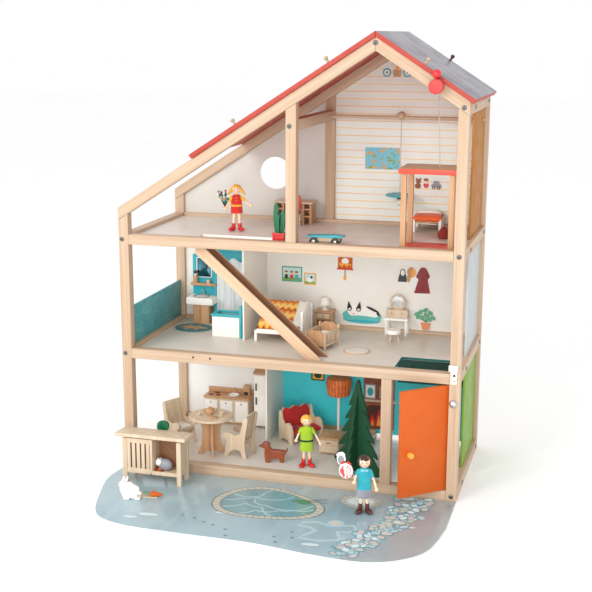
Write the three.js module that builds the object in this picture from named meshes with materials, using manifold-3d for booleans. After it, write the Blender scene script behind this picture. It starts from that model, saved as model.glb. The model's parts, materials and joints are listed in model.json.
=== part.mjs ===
// A wooden dollhouse: three storeys in a frame of square bars, under a lopsided pitched roof.
// Printed panels close its back and part of its right side. A door, a lift worked by a crank,
// and a pendant lamp that slides along a rod are its moving parts. A garden mat lies in front.
//
// Millimetres. X runs to the right, Y to the back and Z up. The pieces are placed from the outer
// front corner of the front left post's foot, and the last lines move the whole house so that
// the origin lies under the middle of its box.

import * as THREE from 'three';
import { mergeVertices } from 'three/addons/utils/BufferGeometryUtils.js';
import Module from 'manifold-3d';

const manifold = await Module();
manifold.setup();

// ---------------------------------------------------------------- driving dimensions

const houseWidth = 720;
const houseDepth = 340;
const barSize = 21.5; // the frame's square bars
const storeyPitch = 245.4; // from one floor to the next
const ridgeX = 538.4;
const kneeHeight = 567; // top of the left rafter over the front left post
const roofPitch = THREE.MathUtils.degToRad(32.8);

const plyThickness = 4; // walls, partitions and side panels
const floorThickness = 6;
const floorDrop = 7; // how far a floor lies below the tops of its bars
const roofBoard = 9;
const fitGap = 0.3; // between pieces that meet on a slope or turn against each other

// ---------------------------------------------------------------- sizes that follow

const frameBack = houseDepth - barSize; // front faces of the back posts
const innerRight = houseWidth - barSize; // inner faces of the right posts
const wallFront = frameBack + (barSize - plyThickness) / 2;
const wallBack = wallFront + plyThickness;

const roofSlope = Math.tan(roofPitch);
const rafterDepth = barSize / Math.cos(roofPitch); // measured straight down
const ridgeHeight = kneeHeight + roofSlope * ridgeX;

const groundLevel = barSize; // tops of the bars round each floor
const firstLevel = groundLevel + storeyPitch;
const atticLevel = firstLevel + storeyPitch;
const firstUnder = firstLevel - barSize; // undersides of the same bars
const atticUnder = atticLevel - barSize;

const hallLeft = 487; // the hall behind the door has no floor of its own
const hallWallFoot = 12;

const doorPostX = 562;
const atticPostX = 361.5;
const middleBeamFoot = 733.5;

// The lift's shaft: the hole that it runs through in both upper floors.
const shaftLeft = 580;
const shaftBack = 125;

const rafterTop = (x) => (x < ridgeX ? kneeHeight + roofSlope * x : ridgeHeight - roofSlope * (x - ridgeX));
const rafterUnder = (x) => rafterTop(x) - rafterDepth;
const floorTop = (level) => level - floorDrop;

// ---------------------------------------------------------------- finishes

function finish(color, roughness, metalness = 0) {
  return new THREE.MeshStandardMaterial({ color, roughness, metalness });
}

const looks = {
  birch: finish(0xeed3ae, 0.62),
  liftWood: finish(0xdcae7c, 0.6),
  whitePrint: finish(0xe9e6e0, 0.5),
  stripedPrint: finish(0xf6efdd, 0.5),
  livingPrint: finish(0x4aa9b4, 0.5),
  floorGrey: finish(0xc4bdb3, 0.35),
  teal: finish(0x2f9a9a, 0.45),
  green: finish(0x8fb54a, 0.5),
  paleBlue: finish(0xc9d2d6, 0.5),
  mustard: finish(0xb97b2a, 0.5),
  roofGrey: finish(0x8f8790, 0.3),
  red: finish(0xe0402a, 0.35),
  orange: finish(0xe87324, 0.4),
  yellow: finish(0xf09a2e, 0.4),
  steel: finish(0xb8bbbd, 0.3, 0.9),
  cord: finish(0xd8cfc0, 0.9),
  mat: finish(0xa7c0ca, 0.3),
};

// ---------------------------------------------------------------- shapes

const house = new THREE.Group();

function addPiece(name, geometry, look, parent = house) {
  const mesh = new THREE.Mesh(geometry, look);
  mesh.name = name;
  parent.add(mesh);
  return mesh;
}

/** A straight-sided block between two values on each axis. */
function addBlock(name, look, [x0, x1], [y0, y1], [z0, z1], parent = house) {
  const geometry = new THREE.BoxGeometry(x1 - x0, y1 - y0, z1 - z0);
  geometry.translate((x0 + x1) / 2, (y0 + y1) / 2, (z0 + z1) / 2);
  return addPiece(name, geometry, look, parent);
}

/** The closed shape through a list of corners. */
function outline(corners) {
  return new THREE.Shape(corners.map(([a, b]) => new THREE.Vector2(a, b)));
}

function punch(shape, a, b, radius) {
  const hole = new THREE.Path();
  hole.absarc(a, b, radius, 0, 2 * Math.PI, true);
  shape.holes.push(hole);
  return shape;
}

const X = new THREE.Vector3(1, 0, 0);
const Y = new THREE.Vector3(0, 1, 0);
const Z = new THREE.Vector3(0, 0, 1);

/** A front view (x, z), given its thickness from y0 to y1. */
function prismAlongY(shape, y0, y1, curveSegments = 24) {
  const depth = y1 - y0;
  const geometry = new THREE.ExtrudeGeometry(shape, { depth, bevelEnabled: false, curveSegments });
  geometry.applyMatrix4(new THREE.Matrix4().makeBasis(X, Z, Y.clone().negate()));
  return geometry.translate(0, y1, 0);
}

/** A side view (y, z), given its thickness from x0 to x1. */
function prismAlongX(shape, x0, x1) {
  const depth = x1 - x0;
  const geometry = new THREE.ExtrudeGeometry(shape, { depth, bevelEnabled: false, curveSegments: 16 });
  geometry.applyMatrix4(new THREE.Matrix4().makeBasis(Y, Z, X));
  return geometry.translate(x0, 0, 0);
}

/** A plan (x, y), given its thickness from z0 to z1. */
function prismAlongZ(shape, z0, z1, curveSegments = 16) {
  const depth = z1 - z0;
  const geometry = new THREE.ExtrudeGeometry(shape, { depth, bevelEnabled: false, curveSegments });
  return geometry.translate(0, 0, z0);
}

/** A turned piece: corners are (radius, distance along the axis), and the axis is +Y. */
function turned(corners, segments = 28) {
  return new THREE.LatheGeometry(outline(corners).getPoints(), segments);
}

function toSolid(geometry) {
  const bare = geometry.clone();
  bare.deleteAttribute('normal');
  bare.deleteAttribute('uv');
  const merged = mergeVertices(bare, 1e-4);
  return new manifold.Manifold(
    new manifold.Mesh({
      numProp: 3,
      vertProperties: new Float32Array(merged.attributes.position.array),
      triVerts: new Uint32Array(merged.index.array),
    }),
  );
}

function toGeometry(solid) {
  const mesh = solid.getMesh();
  const geometry = new THREE.BufferGeometry();
  geometry.setAttribute('position', new THREE.BufferAttribute(new Float32Array(mesh.vertProperties), 3));
  geometry.setIndex(new THREE.BufferAttribute(new Uint32Array(mesh.triVerts), 1));
  geometry.computeVertexNormals();
  return geometry;
}

// ---------------------------------------------------------------- frame: posts

/** The bars from x to x + barSize that stand up to the underside of a rafter, front or back. */
function addPostToRafter(name, x, foot, y0) {
  const right = x + barSize;
  const shape = outline([
    [x, foot],
    [right, foot],
    [right, rafterUnder(right) - fitGap],
    [x, rafterUnder(x) - fitGap],
  ]);
  addPiece(name, prismAlongY(shape, y0, y0 + barSize), looks.birch);
}

for (const [side, y0] of [['front', 0], ['back', frameBack]]) {
  addPostToRafter(`${side}_left_post`, 0, 0, y0);
  addPostToRafter(`${side}_right_post`, innerRight, 0, y0);
  addPostToRafter(`${side}_attic_post`, atticPostX, atticLevel, y0);
}

addBlock('door_post', looks.birch, [doorPostX, doorPostX + barSize], [0, barSize], [groundLevel, firstUnder]);

// ---------------------------------------------------------------- frame: beams

const storeys = [['ground', groundLevel], ['first', firstLevel], ['attic', atticLevel]];

for (const [storey, level] of storeys) {
  const height = [level - barSize, level];
  const backEnd = storey === 'ground' ? hallLeft : innerRight;
  addBlock(`${storey}_front_beam`, looks.birch, [barSize, innerRight], [0, barSize], height);
  addBlock(`${storey}_back_beam`, looks.birch, [barSize, backEnd], [frameBack, houseDepth], height);
  addBlock(`${storey}_left_beam`, looks.birch, [0, barSize], [barSize, frameBack], height);
  addBlock(`${storey}_right_beam`, looks.birch, [innerRight, houseWidth], [barSize, frameBack], height);
}

const eaveFoot = rafterUnder(houseWidth);
addBlock(
  'eave_beam',
  looks.birch,
  [innerRight, houseWidth],
  [barSize, frameBack],
  [eaveFoot, eaveFoot + barSize],
);
addBlock(
  'attic_middle_beam',
  looks.birch,
  [atticPostX, atticPostX + barSize],
  [barSize, frameBack],
  [middleBeamFoot, middleBeamFoot + barSize],
);

// ---------------------------------------------------------------- frame: rafters

const crankX = 658; // the crank's axle runs through the front right rafter
const crankZ = rafterTop(crankX) - rafterDepth / 2;
const axleRadius = 4;

function rafterShape(fromX, toX) {
  return outline([
    [fromX, rafterUnder(fromX)],
    [toX, rafterUnder(toX)],
    [toX, rafterTop(toX)],
    [fromX, rafterTop(fromX)],
  ]);
}

const leftRafter = rafterShape(0, ridgeX - fitGap);
const rightRafter = rafterShape(ridgeX, houseWidth);
const boredRightRafter = punch(rafterShape(ridgeX, houseWidth), crankX, crankZ, axleRadius + fitGap);

addPiece('front_left_rafter', prismAlongY(leftRafter, 0, barSize), looks.birch);
addPiece('front_right_rafter', prismAlongY(boredRightRafter, 0, barSize), looks.birch);
addPiece('back_left_rafter', prismAlongY(leftRafter, frameBack, houseDepth), looks.birch);
addPiece('back_right_rafter', prismAlongY(rightRafter, frameBack, houseDepth), looks.birch);

// ---------------------------------------------------------------- floors

const slideHole = { left: 155, right: 330, back: 87 };

/** A floor's plan, with the lift's shaft in its front right corner and notches in its front edge. */
function floorPlan(notches) {
  const corners = [[barSize, barSize]];
  for (const { left, right, back } of notches) {
    corners.push([left, barSize], [left, back], [right, back], [right, barSize]);
  }
  corners.push([shaftLeft, barSize], [shaftLeft, shaftBack], [innerRight, shaftBack]);
  corners.push([innerRight, frameBack], [barSize, frameBack]);
  return outline(corners);
}

function addFloor(name, plan, level) {
  const top = floorTop(level);
  addPiece(name, prismAlongZ(plan, top - floorThickness, top), looks.floorGrey);
}

const groundPlan = outline([
  [barSize, barSize],
  [hallLeft, barSize],
  [hallLeft, frameBack],
  [barSize, frameBack],
]);
addFloor('ground_floor', groundPlan, groundLevel);
addFloor('first_floor', floorPlan([]), firstLevel);
addFloor('attic_floor', floorPlan([slideHole]), atticLevel);

// ---------------------------------------------------------------- back walls

const roundWindow = { x: 243, z: 611, radius: 36.5 };

const groundWall = outline([
  [barSize, groundLevel],
  [hallLeft, groundLevel],
  [hallLeft, hallWallFoot],
  [innerRight, hallWallFoot],
  [innerRight, firstUnder],
  [barSize, firstUnder],
]);
const atticLeftWall = outline([
  [barSize, atticLevel],
  [atticPostX, atticLevel],
  [atticPostX, rafterUnder(atticPostX) - fitGap],
  [barSize, rafterUnder(barSize) - fitGap],
]);
const atticPostRight = atticPostX + barSize;
const atticRightWall = outline([
  [atticPostRight, atticLevel],
  [innerRight, atticLevel],
  [innerRight, rafterUnder(innerRight) - fitGap],
  [ridgeX, rafterUnder(ridgeX) - fitGap],
  [atticPostRight, rafterUnder(atticPostRight) - fitGap],
]);
punch(atticLeftWall, roundWindow.x, roundWindow.z, roundWindow.radius);

addPiece('ground_back_wall', prismAlongY(groundWall, wallFront, wallBack), looks.livingPrint);
addBlock(
  'first_back_wall',
  looks.whitePrint,
  [barSize, innerRight],
  [wallFront, wallBack],
  [firstLevel, atticUnder],
);
addPiece('attic_left_back_wall', prismAlongY(atticLeftWall, wallFront, wallBack), looks.whitePrint);
addPiece('attic_right_back_wall', prismAlongY(atticRightWall, wallFront, wallBack), looks.stripedPrint);

// ---------------------------------------------------------------- partitions

/** Stands on one floor, reaches the next, and is notched round the two back beams. */
function addPartition(name, x, frontY, level, look) {
  const foot = floorTop(level);
  const top = floorTop(level + storeyPitch) - floorThickness;
  const shape = outline([
    [frontY, foot],
    [frameBack, foot],
    [frameBack, level],
    [wallFront, level],
    [wallFront, level + storeyPitch - barSize],
    [frameBack, level + storeyPitch - barSize],
    [frameBack, top],
    [frontY, top],
  ]);
  addPiece(name, prismAlongX(shape, x, x + plyThickness), look);
}

addPartition('ground_partition', 258, 195, groundLevel, looks.whitePrint);
addPartition('first_partition', 219, 154, firstLevel, looks.whitePrint);

// ---------------------------------------------------------------- side panels

const sidePanelX = 708;
const sidePanelFront = 140; // the lift is open to the side in front of the panels
const rod = { y: 285, z: middleBeamFoot + barSize / 2, radius: 4 };
const rodEnd = houseWidth - 1;

function addSidePanel(name, foot, top, look, bored = false) {
  const shape = outline([
    [sidePanelFront, foot],
    [frameBack, foot],
    [frameBack, top],
    [sidePanelFront, top],
  ]);
  if (bored) punch(shape, rod.y, rod.z, rod.radius + fitGap);
  addPiece(name, prismAlongX(shape, sidePanelX, sidePanelX + plyThickness), look);
}

addSidePanel('ground_right_panel', groundLevel, firstUnder, looks.green);
addSidePanel('first_right_panel', firstLevel, atticUnder, looks.paleBlue);
addSidePanel('attic_right_panel', atticLevel, eaveFoot, looks.mustard, true);

// A low wall on the left beam closes the foot of the first floor's left side.
const halfWall = { x: 7, height: 84 };
addBlock(
  'first_left_half_wall',
  looks.teal,
  [halfWall.x, halfWall.x + plyThickness],
  [barSize, frameBack],
  [firstLevel, firstLevel + halfWall.height],
);

// ---------------------------------------------------------------- roof

const roofOverhang = 6; // past the frame, front and back
const roofLowerLeft = 165.5; // the left board stops here and leaves the terrace open
const roofLowerRight = 727;

/** A board on the rafters: plumb at the ridge, square at its lower end. */
function addRoofBoard(name, lowerX, upperX, outward) {
  const lift = fitGap / Math.cos(roofPitch);
  const rise = roofBoard / Math.cos(roofPitch);
  const shape = outline([
    [lowerX, rafterTop(lowerX) + lift],
    [upperX, rafterTop(upperX) + lift],
    [upperX, rafterTop(upperX) + lift + rise],
    [
      lowerX + outward * roofBoard * Math.sin(roofPitch),
      rafterTop(lowerX) + lift + roofBoard * Math.cos(roofPitch),
    ],
  ]);
  addPiece(name, prismAlongY(shape, -roofOverhang, houseDepth + roofOverhang), looks.roofGrey);
}

addRoofBoard('left_roof_board', roofLowerLeft, ridgeX - fitGap, -1);
addRoofBoard('right_roof_board', roofLowerRight, ridgeX + fitGap, 1);

// ---------------------------------------------------------------- door

const doorHinge = { x: 695, y: 9 };
const doorThickness = 6;
const doorRest = THREE.MathUtils.degToRad(42); // the door stands open by this much
const doorFoot = groundLevel + 1;
const doorTop = firstUnder - 3;
const pinRadius = 1.1;
const doorGap = 1.5; // between the shut door and its post
const doorReach = doorHinge.x - (doorPostX + barSize) - doorGap; // from the pin to the free edge

const door = new THREE.Group();
door.position.set(doorHinge.x, doorHinge.y, 0);
door.rotation.z = doorRest;
house.add(door);

// The leaf's hinge edge is rounded about the pin that runs through its whole height.
const leafPlan = new THREE.Shape();
leafPlan.moveTo(0, -doorThickness / 2);
leafPlan.absarc(0, 0, doorThickness / 2, -Math.PI / 2, Math.PI / 2, false);
leafPlan.lineTo(-doorReach, doorThickness / 2);
leafPlan.lineTo(-doorReach, -doorThickness / 2);
leafPlan.closePath();
punch(leafPlan, 0, 0, pinRadius + fitGap);
addPiece('door_leaf', prismAlongZ(leafPlan, doorFoot, doorTop, 8), looks.orange, door);

// A turned knob: a short neck, a wider grip and a chamfer round its end.
const knob = { fromPin: 90, z: 112, radius: 6, length: 13, neckRadius: 4, neckLength: 3, chamfer: 1 };
const knobGeometry = turned([
  [0, 0],
  [knob.neckRadius, 0],
  [knob.neckRadius, knob.neckLength],
  [knob.radius, knob.neckLength + knob.chamfer],
  [knob.radius, knob.length - knob.chamfer],
  [knob.radius - knob.chamfer, knob.length],
  [0, knob.length],
]);
const knobMesh = addPiece('door_knob', knobGeometry, looks.yellow, door);
knobMesh.rotation.x = Math.PI;
knobMesh.position.set(-knob.fromPin, -doorThickness / 2 - fitGap, knob.z);

const pinGeometry = new THREE.CylinderGeometry(pinRadius, pinRadius, firstUnder - groundLevel, 12);
pinGeometry.rotateX(Math.PI / 2);
pinGeometry.translate(doorHinge.x, doorHinge.y, (groundLevel + firstUnder) / 2);
addPiece('door_hinge_pin', pinGeometry, looks.steel);

// ---------------------------------------------------------------- lift

const liftX = [582.5, 697.5];
const liftY = [24, 122];
const liftPost = 10.5;
const liftPostInset = 5;
const liftFloorTop = floorTop(atticLevel);
const liftRoof = { foot: 655, thickness: 10 };

addBlock('lift_floor', looks.red, liftX, liftY, [liftFloorTop - floorThickness, liftFloorTop]);
addBlock('lift_roof', looks.red, liftX, liftY, [liftRoof.foot, liftRoof.foot + liftRoof.thickness]);

const liftPostsX = [['left', liftX[0] + liftPostInset], ['right', liftX[1] - liftPostInset - liftPost]];
const liftPostsY = [['front', liftY[0] + liftPostInset], ['back', liftY[1] - liftPostInset - liftPost]];
for (const [sideways, x] of liftPostsX) {
  for (const [depthways, y] of liftPostsY) {
    const name = `lift_${depthways}_${sideways}_post`;
    addBlock(name, looks.liftWood, [x, x + liftPost], [y, y + liftPost], [liftFloorTop, liftRoof.foot]);
  }
}

// ---------------------------------------------------------------- crank and rope

const drum = { y: (liftY[0] + liftY[1]) / 2, halfLength: 9, radius: 8, flangeRadius: 11, flange: 2 };
const crankDisc = { front: -22, back: -10, radius: 14.3 };
const crankBallRadius = 8.7;
const collar = { front: 22.5, back: 28.5, radius: 8 };

const crank = new THREE.Group();
crank.position.set(crankX, 0, crankZ);
house.add(crank);

const easing = 1.5; // the disc's edges are chamfered by this much
addPiece(
  'crank_disc',
  turned([
    [0, crankDisc.front],
    [crankDisc.radius - easing, crankDisc.front],
    [crankDisc.radius, crankDisc.front + easing],
    [crankDisc.radius, crankDisc.back - easing],
    [crankDisc.radius - easing, crankDisc.back],
    [0, crankDisc.back],
  ]),
  looks.red,
  crank,
);

// The handle is a ball pushed onto the disc's rim.
const ballGeometry = new THREE.SphereGeometry(crankBallRadius, 20, 14);
const crankBall = addPiece('crank_handle', ballGeometry, looks.red, crank);
const ballOffset = crankDisc.radius + crankBallRadius + fitGap;
crankBall.position.set(0, (crankDisc.front + crankDisc.back) / 2, ballOffset);

// One dowel from the disc through the rafter, with the collar that keeps it there and the drum.
const drumFront = drum.y - drum.halfLength;
const drumBack = drum.y + drum.halfLength;
addPiece(
  'crank_axle',
  turned([
    [0, crankDisc.back + fitGap],
    [axleRadius, crankDisc.back + fitGap],
    [axleRadius, collar.front],
    [collar.radius, collar.front],
    [collar.radius, collar.back],
    [axleRadius, collar.back],
    [axleRadius, drumFront - drum.flange],
    [drum.flangeRadius, drumFront - drum.flange],
    [drum.flangeRadius, drumFront],
    [drum.radius, drumFront],
    [drum.radius, drumBack],
    [drum.flangeRadius, drumBack],
    [drum.flangeRadius, drumBack + drum.flange],
    [0, drumBack + drum.flange],
  ]),
  looks.birch,
  crank,
);

/** A round cord drawn taut between two points. */
function addCord(name, radius, from, to) {
  const section = new THREE.Shape().absarc(0, 0, radius, 0, 2 * Math.PI, false);
  const geometry = new THREE.ExtrudeGeometry(section, {
    extrudePath: new THREE.LineCurve3(from, to),
    steps: 4,
    curveSegments: 8,
    bevelEnabled: false,
  });
  return addPiece(name, geometry, looks.cord);
}

// From the drum's left side down to the lift's roof.
const ropeRadius = 0.8;
const ropeEyeX = 656;
addCord(
  'lift_rope',
  ropeRadius,
  new THREE.Vector3(crankX - drum.radius - ropeRadius - fitGap, drum.y, crankZ),
  new THREE.Vector3(ropeEyeX, drum.y, liftRoof.foot + liftRoof.thickness + fitGap),
);

// ---------------------------------------------------------------- lamp

const lampX = 538;
const bead = { radius: 9.5, aboveRod: 4 };
const shade = { radius: 31, foot: 575.5, thickness: 4 };
const cordRadius = 0.7;

const rodGeometry = new THREE.CylinderGeometry(rod.radius, rod.radius, rodEnd - atticPostRight, 24);
rodGeometry.rotateZ(Math.PI / 2);
rodGeometry.translate((rodEnd + atticPostRight) / 2, rod.y, rod.z);
addPiece('lamp_rod', rodGeometry, looks.birch);

// A wooden ball that runs on the rod, bored below its middle so that it hangs upright.
function makeBead() {
  const ball = new THREE.SphereGeometry(bead.radius, 28, 20).translate(lampX, rod.y, rod.z + bead.aboveRod);
  const bore = new THREE.CylinderGeometry(rod.radius + fitGap, rod.radius + fitGap, 3 * bead.radius, 24);
  bore.rotateZ(Math.PI / 2).translate(lampX, rod.y, rod.z);
  return toGeometry(toSolid(ball).subtract(toSolid(bore)));
}

addPiece('lamp_bead', makeBead(), looks.birch);

const shadeTop = shade.foot + shade.thickness;
addCord(
  'lamp_cord',
  cordRadius,
  new THREE.Vector3(lampX, rod.y, rod.z + bead.aboveRod - bead.radius - fitGap),
  new THREE.Vector3(lampX, rod.y, shadeTop + fitGap),
);

// A flat disc with a collar and a round bulb under it.
const shadeCollar = { radius: 6, height: 6 };
const bulbRadius = 8;
const bulbTop = shade.foot - shadeCollar.height;
const neck = 3.5; // where the bulb meets the collar
const neckAngle = Math.asin(neck / bulbRadius);
const bulbCentre = bulbTop - bulbRadius * Math.cos(neckAngle);
const shadeProfile = new THREE.Shape();
shadeProfile.moveTo(0, shadeTop);
shadeProfile.lineTo(shade.radius, shadeTop);
shadeProfile.lineTo(shade.radius, shade.foot);
shadeProfile.lineTo(shadeCollar.radius, shade.foot);
shadeProfile.lineTo(shadeCollar.radius, bulbTop);
shadeProfile.lineTo(neck, bulbTop);
shadeProfile.absarc(0, bulbCentre, bulbRadius, Math.PI / 2 - neckAngle, -Math.PI / 2, true);
const shadeGeometry = new THREE.LatheGeometry(shadeProfile.getPoints(8).reverse(), 32);
shadeGeometry.rotateX(Math.PI / 2);
addPiece('lamp_shade', shadeGeometry, looks.teal).position.set(lampX, rod.y, 0);

// ---------------------------------------------------------------- slide

// A trough with two rails, from the edge of the attic floor's hole down to the first floor.
const slideRun = {
  topX: 157,
  topZ: floorTop(atticLevel) - 3, // top edge of the rails where the slide starts
  pitch: THREE.MathUtils.degToRad(41.3),
  front: 34,
  back: 80,
};
const rail = { height: 22, thickness: 6 };
const troughBoard = 5;

function makeSlide() {
  const width = slideRun.back - slideRun.front;
  const section = outline([
    [0, 0],
    [width, 0],
    [width, rail.height],
    [width - rail.thickness, rail.height],
    [width - rail.thickness, troughBoard],
    [rail.thickness, troughBoard],
    [rail.thickness, rail.height],
    [0, rail.height],
  ]);
  // Longer than the run at both ends, which are then cut.
  const spare = 60;
  const run = (slideRun.topZ - floorTop(firstLevel)) / Math.sin(slideRun.pitch);
  const trough = new THREE.ExtrudeGeometry(section, { depth: run + 2 * spare, bevelEnabled: false });
  // The section's width lies along Y and its height square to the slope.
  const down = new THREE.Vector3(Math.cos(slideRun.pitch), 0, -Math.sin(slideRun.pitch));
  const square = new THREE.Vector3(Math.sin(slideRun.pitch), 0, Math.cos(slideRun.pitch));
  trough.applyMatrix4(new THREE.Matrix4().makeBasis(Y, square, down));
  const start = new THREE.Vector3(slideRun.topX, slideRun.front, slideRun.topZ);
  start.addScaledVector(down, -spare).addScaledVector(square, -rail.height);
  trough.translate(start.x, start.y, start.z);

  // What is left stands plumb at the hole's edge and flat on the first floor.
  const keep = outline([
    [slideRun.topX, floorTop(firstLevel)],
    [houseWidth, floorTop(firstLevel)],
    [houseWidth, slideRun.topZ],
    [slideRun.topX, slideRun.topZ],
  ]);
  const kept = toSolid(trough).intersect(toSolid(prismAlongY(keep, 0, houseDepth)));
  return toGeometry(kept);
}

addPiece('slide', makeSlide(), looks.liftWood);

// ---------------------------------------------------------------- bell and garden mat

// A domed bell screwed to the front of the right post.
const bell = { x: 707.5, z: 206.5, radius: 8, base: 1.5, rise: 5.6 };
const bellProfile = new THREE.Shape();
bellProfile.moveTo(0, 0);
bellProfile.lineTo(bell.radius, 0);
bellProfile.lineTo(bell.radius, bell.base);
bellProfile.absellipse(0, bell.base, bell.radius, bell.rise, 0, Math.PI / 2, false);
const bellGeometry = new THREE.LatheGeometry(bellProfile.getPoints(6), 28);
bellGeometry.rotateX(Math.PI);
addPiece('door_bell', bellGeometry, looks.steel).position.set(bell.x, 0, bell.z);

// The mat is straight along the house and wavy round its other sides.
const matThickness = 2;
const matGap = 2; // between the mat and the front posts
const matLeft = 2;
const matSide = -135; // the right side is straight this far forward
const matWave = [
  [704, -235],
  [664, -290],
  [598, -319],
  [500, -315],
  [381, -298],
  [240, -295],
  [115, -288],
  [48, -250],
  [8, -140],
  [-6, -70],
  [matLeft, -matGap],
];
const matPlan = new THREE.Shape();
matPlan.moveTo(matLeft, -matGap);
matPlan.lineTo(houseWidth, -matGap);
matPlan.lineTo(houseWidth, matSide);
matPlan.splineThru(matWave.map(([x, y]) => new THREE.Vector2(x, y)));
addPiece('garden_mat', prismAlongZ(matPlan, 0, matThickness, 5), looks.mat);

// ---------------------------------------------------------------- origin

const box = new THREE.Box3().setFromObject(house, true);
const middle = box.getCenter(new THREE.Vector3());
house.position.set(-middle.x, -middle.y, -box.min.z);

export default house;
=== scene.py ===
"""A wooden dollhouse: finishes, prints, fittings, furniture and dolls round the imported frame.

Everything here is placed in house millimetres: right of, behind and above the outer front corner
of the front left post's foot. Model turns them into the row frame's metres when it makes a piece.
"""

import json
import math
import random

import bmesh
import bpy
from mathutils import Matrix, Vector


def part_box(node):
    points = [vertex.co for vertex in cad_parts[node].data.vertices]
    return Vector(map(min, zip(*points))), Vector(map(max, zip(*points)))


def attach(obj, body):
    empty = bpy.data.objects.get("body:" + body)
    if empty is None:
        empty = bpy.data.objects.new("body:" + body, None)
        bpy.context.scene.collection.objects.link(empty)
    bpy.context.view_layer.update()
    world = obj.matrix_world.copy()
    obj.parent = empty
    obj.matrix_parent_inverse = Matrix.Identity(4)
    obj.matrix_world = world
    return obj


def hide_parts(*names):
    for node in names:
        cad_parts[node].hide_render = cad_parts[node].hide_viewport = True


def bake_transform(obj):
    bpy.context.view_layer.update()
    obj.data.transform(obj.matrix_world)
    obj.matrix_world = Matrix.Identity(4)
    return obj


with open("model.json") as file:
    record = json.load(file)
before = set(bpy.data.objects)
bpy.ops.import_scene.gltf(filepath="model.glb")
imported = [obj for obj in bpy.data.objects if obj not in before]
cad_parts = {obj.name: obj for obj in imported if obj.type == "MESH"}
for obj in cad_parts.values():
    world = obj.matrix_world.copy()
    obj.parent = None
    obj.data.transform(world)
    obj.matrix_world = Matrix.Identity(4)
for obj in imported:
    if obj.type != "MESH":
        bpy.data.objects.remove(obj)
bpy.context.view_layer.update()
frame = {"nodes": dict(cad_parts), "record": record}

MM = 0.001
SHARP = math.radians(35)
FACING = 0.9  # a face's normal has at least this share along an axis to face that way
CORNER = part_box("front_left_post")[0]


def span(node):
    """A CAD node's lowest and highest corner in house millimetres."""
    low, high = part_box(node)
    return (low - CORNER) / MM, (high - CORNER) / MM


def at(x, y, z):
    """A place in house millimetres, in the row frame's metres."""
    return CORNER + MM * Vector((x, y, z))


HOUSE_RIGHT = span("front_right_post")[1].x
HOUSE_BACK = span("back_left_post")[1].y
BAR = span("front_left_post")[1].y
GROUND = span("ground_floor")[1].z
FIRST = span("first_floor")[1].z
ATTIC = span("attic_floor")[1].z
MAT = span("garden_mat")[1].z
WALL = span("first_back_wall")[0].y
RIDGE = span("front_left_rafter")[1]
PITCH = math.radians(32.8)

# ---------------------------------------------------------------- camera

camera_data = bpy.data.cameras.new("camera")
camera_data.lens = 69.96
camera_data.sensor_width = 36
camera = bpy.data.objects.new("camera", camera_data)
bpy.context.collection.objects.link(camera)
camera_turn = 0.2746  # to the left, radians
camera_tilt = 0.2229  # downwards
camera_roll = 0.0029
camera_place = at(996.4, -2173.1, 916.2)
camera.matrix_world = (
    Matrix.Translation(camera_place)
    @ Matrix.Rotation(camera_turn, 4, "Z")
    @ Matrix.Rotation(math.pi / 2 - camera_tilt, 4, "X")
    @ Matrix.Rotation(camera_roll, 4, "Z")
)
bpy.context.scene.camera = camera

# ---------------------------------------------------------------- node materials


def paint(red, green, blue):
    """A colour as a paint chart gives it, 0 to 255, as the linear colour that Blender uses."""

    def linear(value):
        share = value / 255
        return share / 12.92 if share <= 0.04045 else ((share + 0.055) / 1.055) ** 2.4

    return (linear(red), linear(green), linear(blue), 1)


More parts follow.
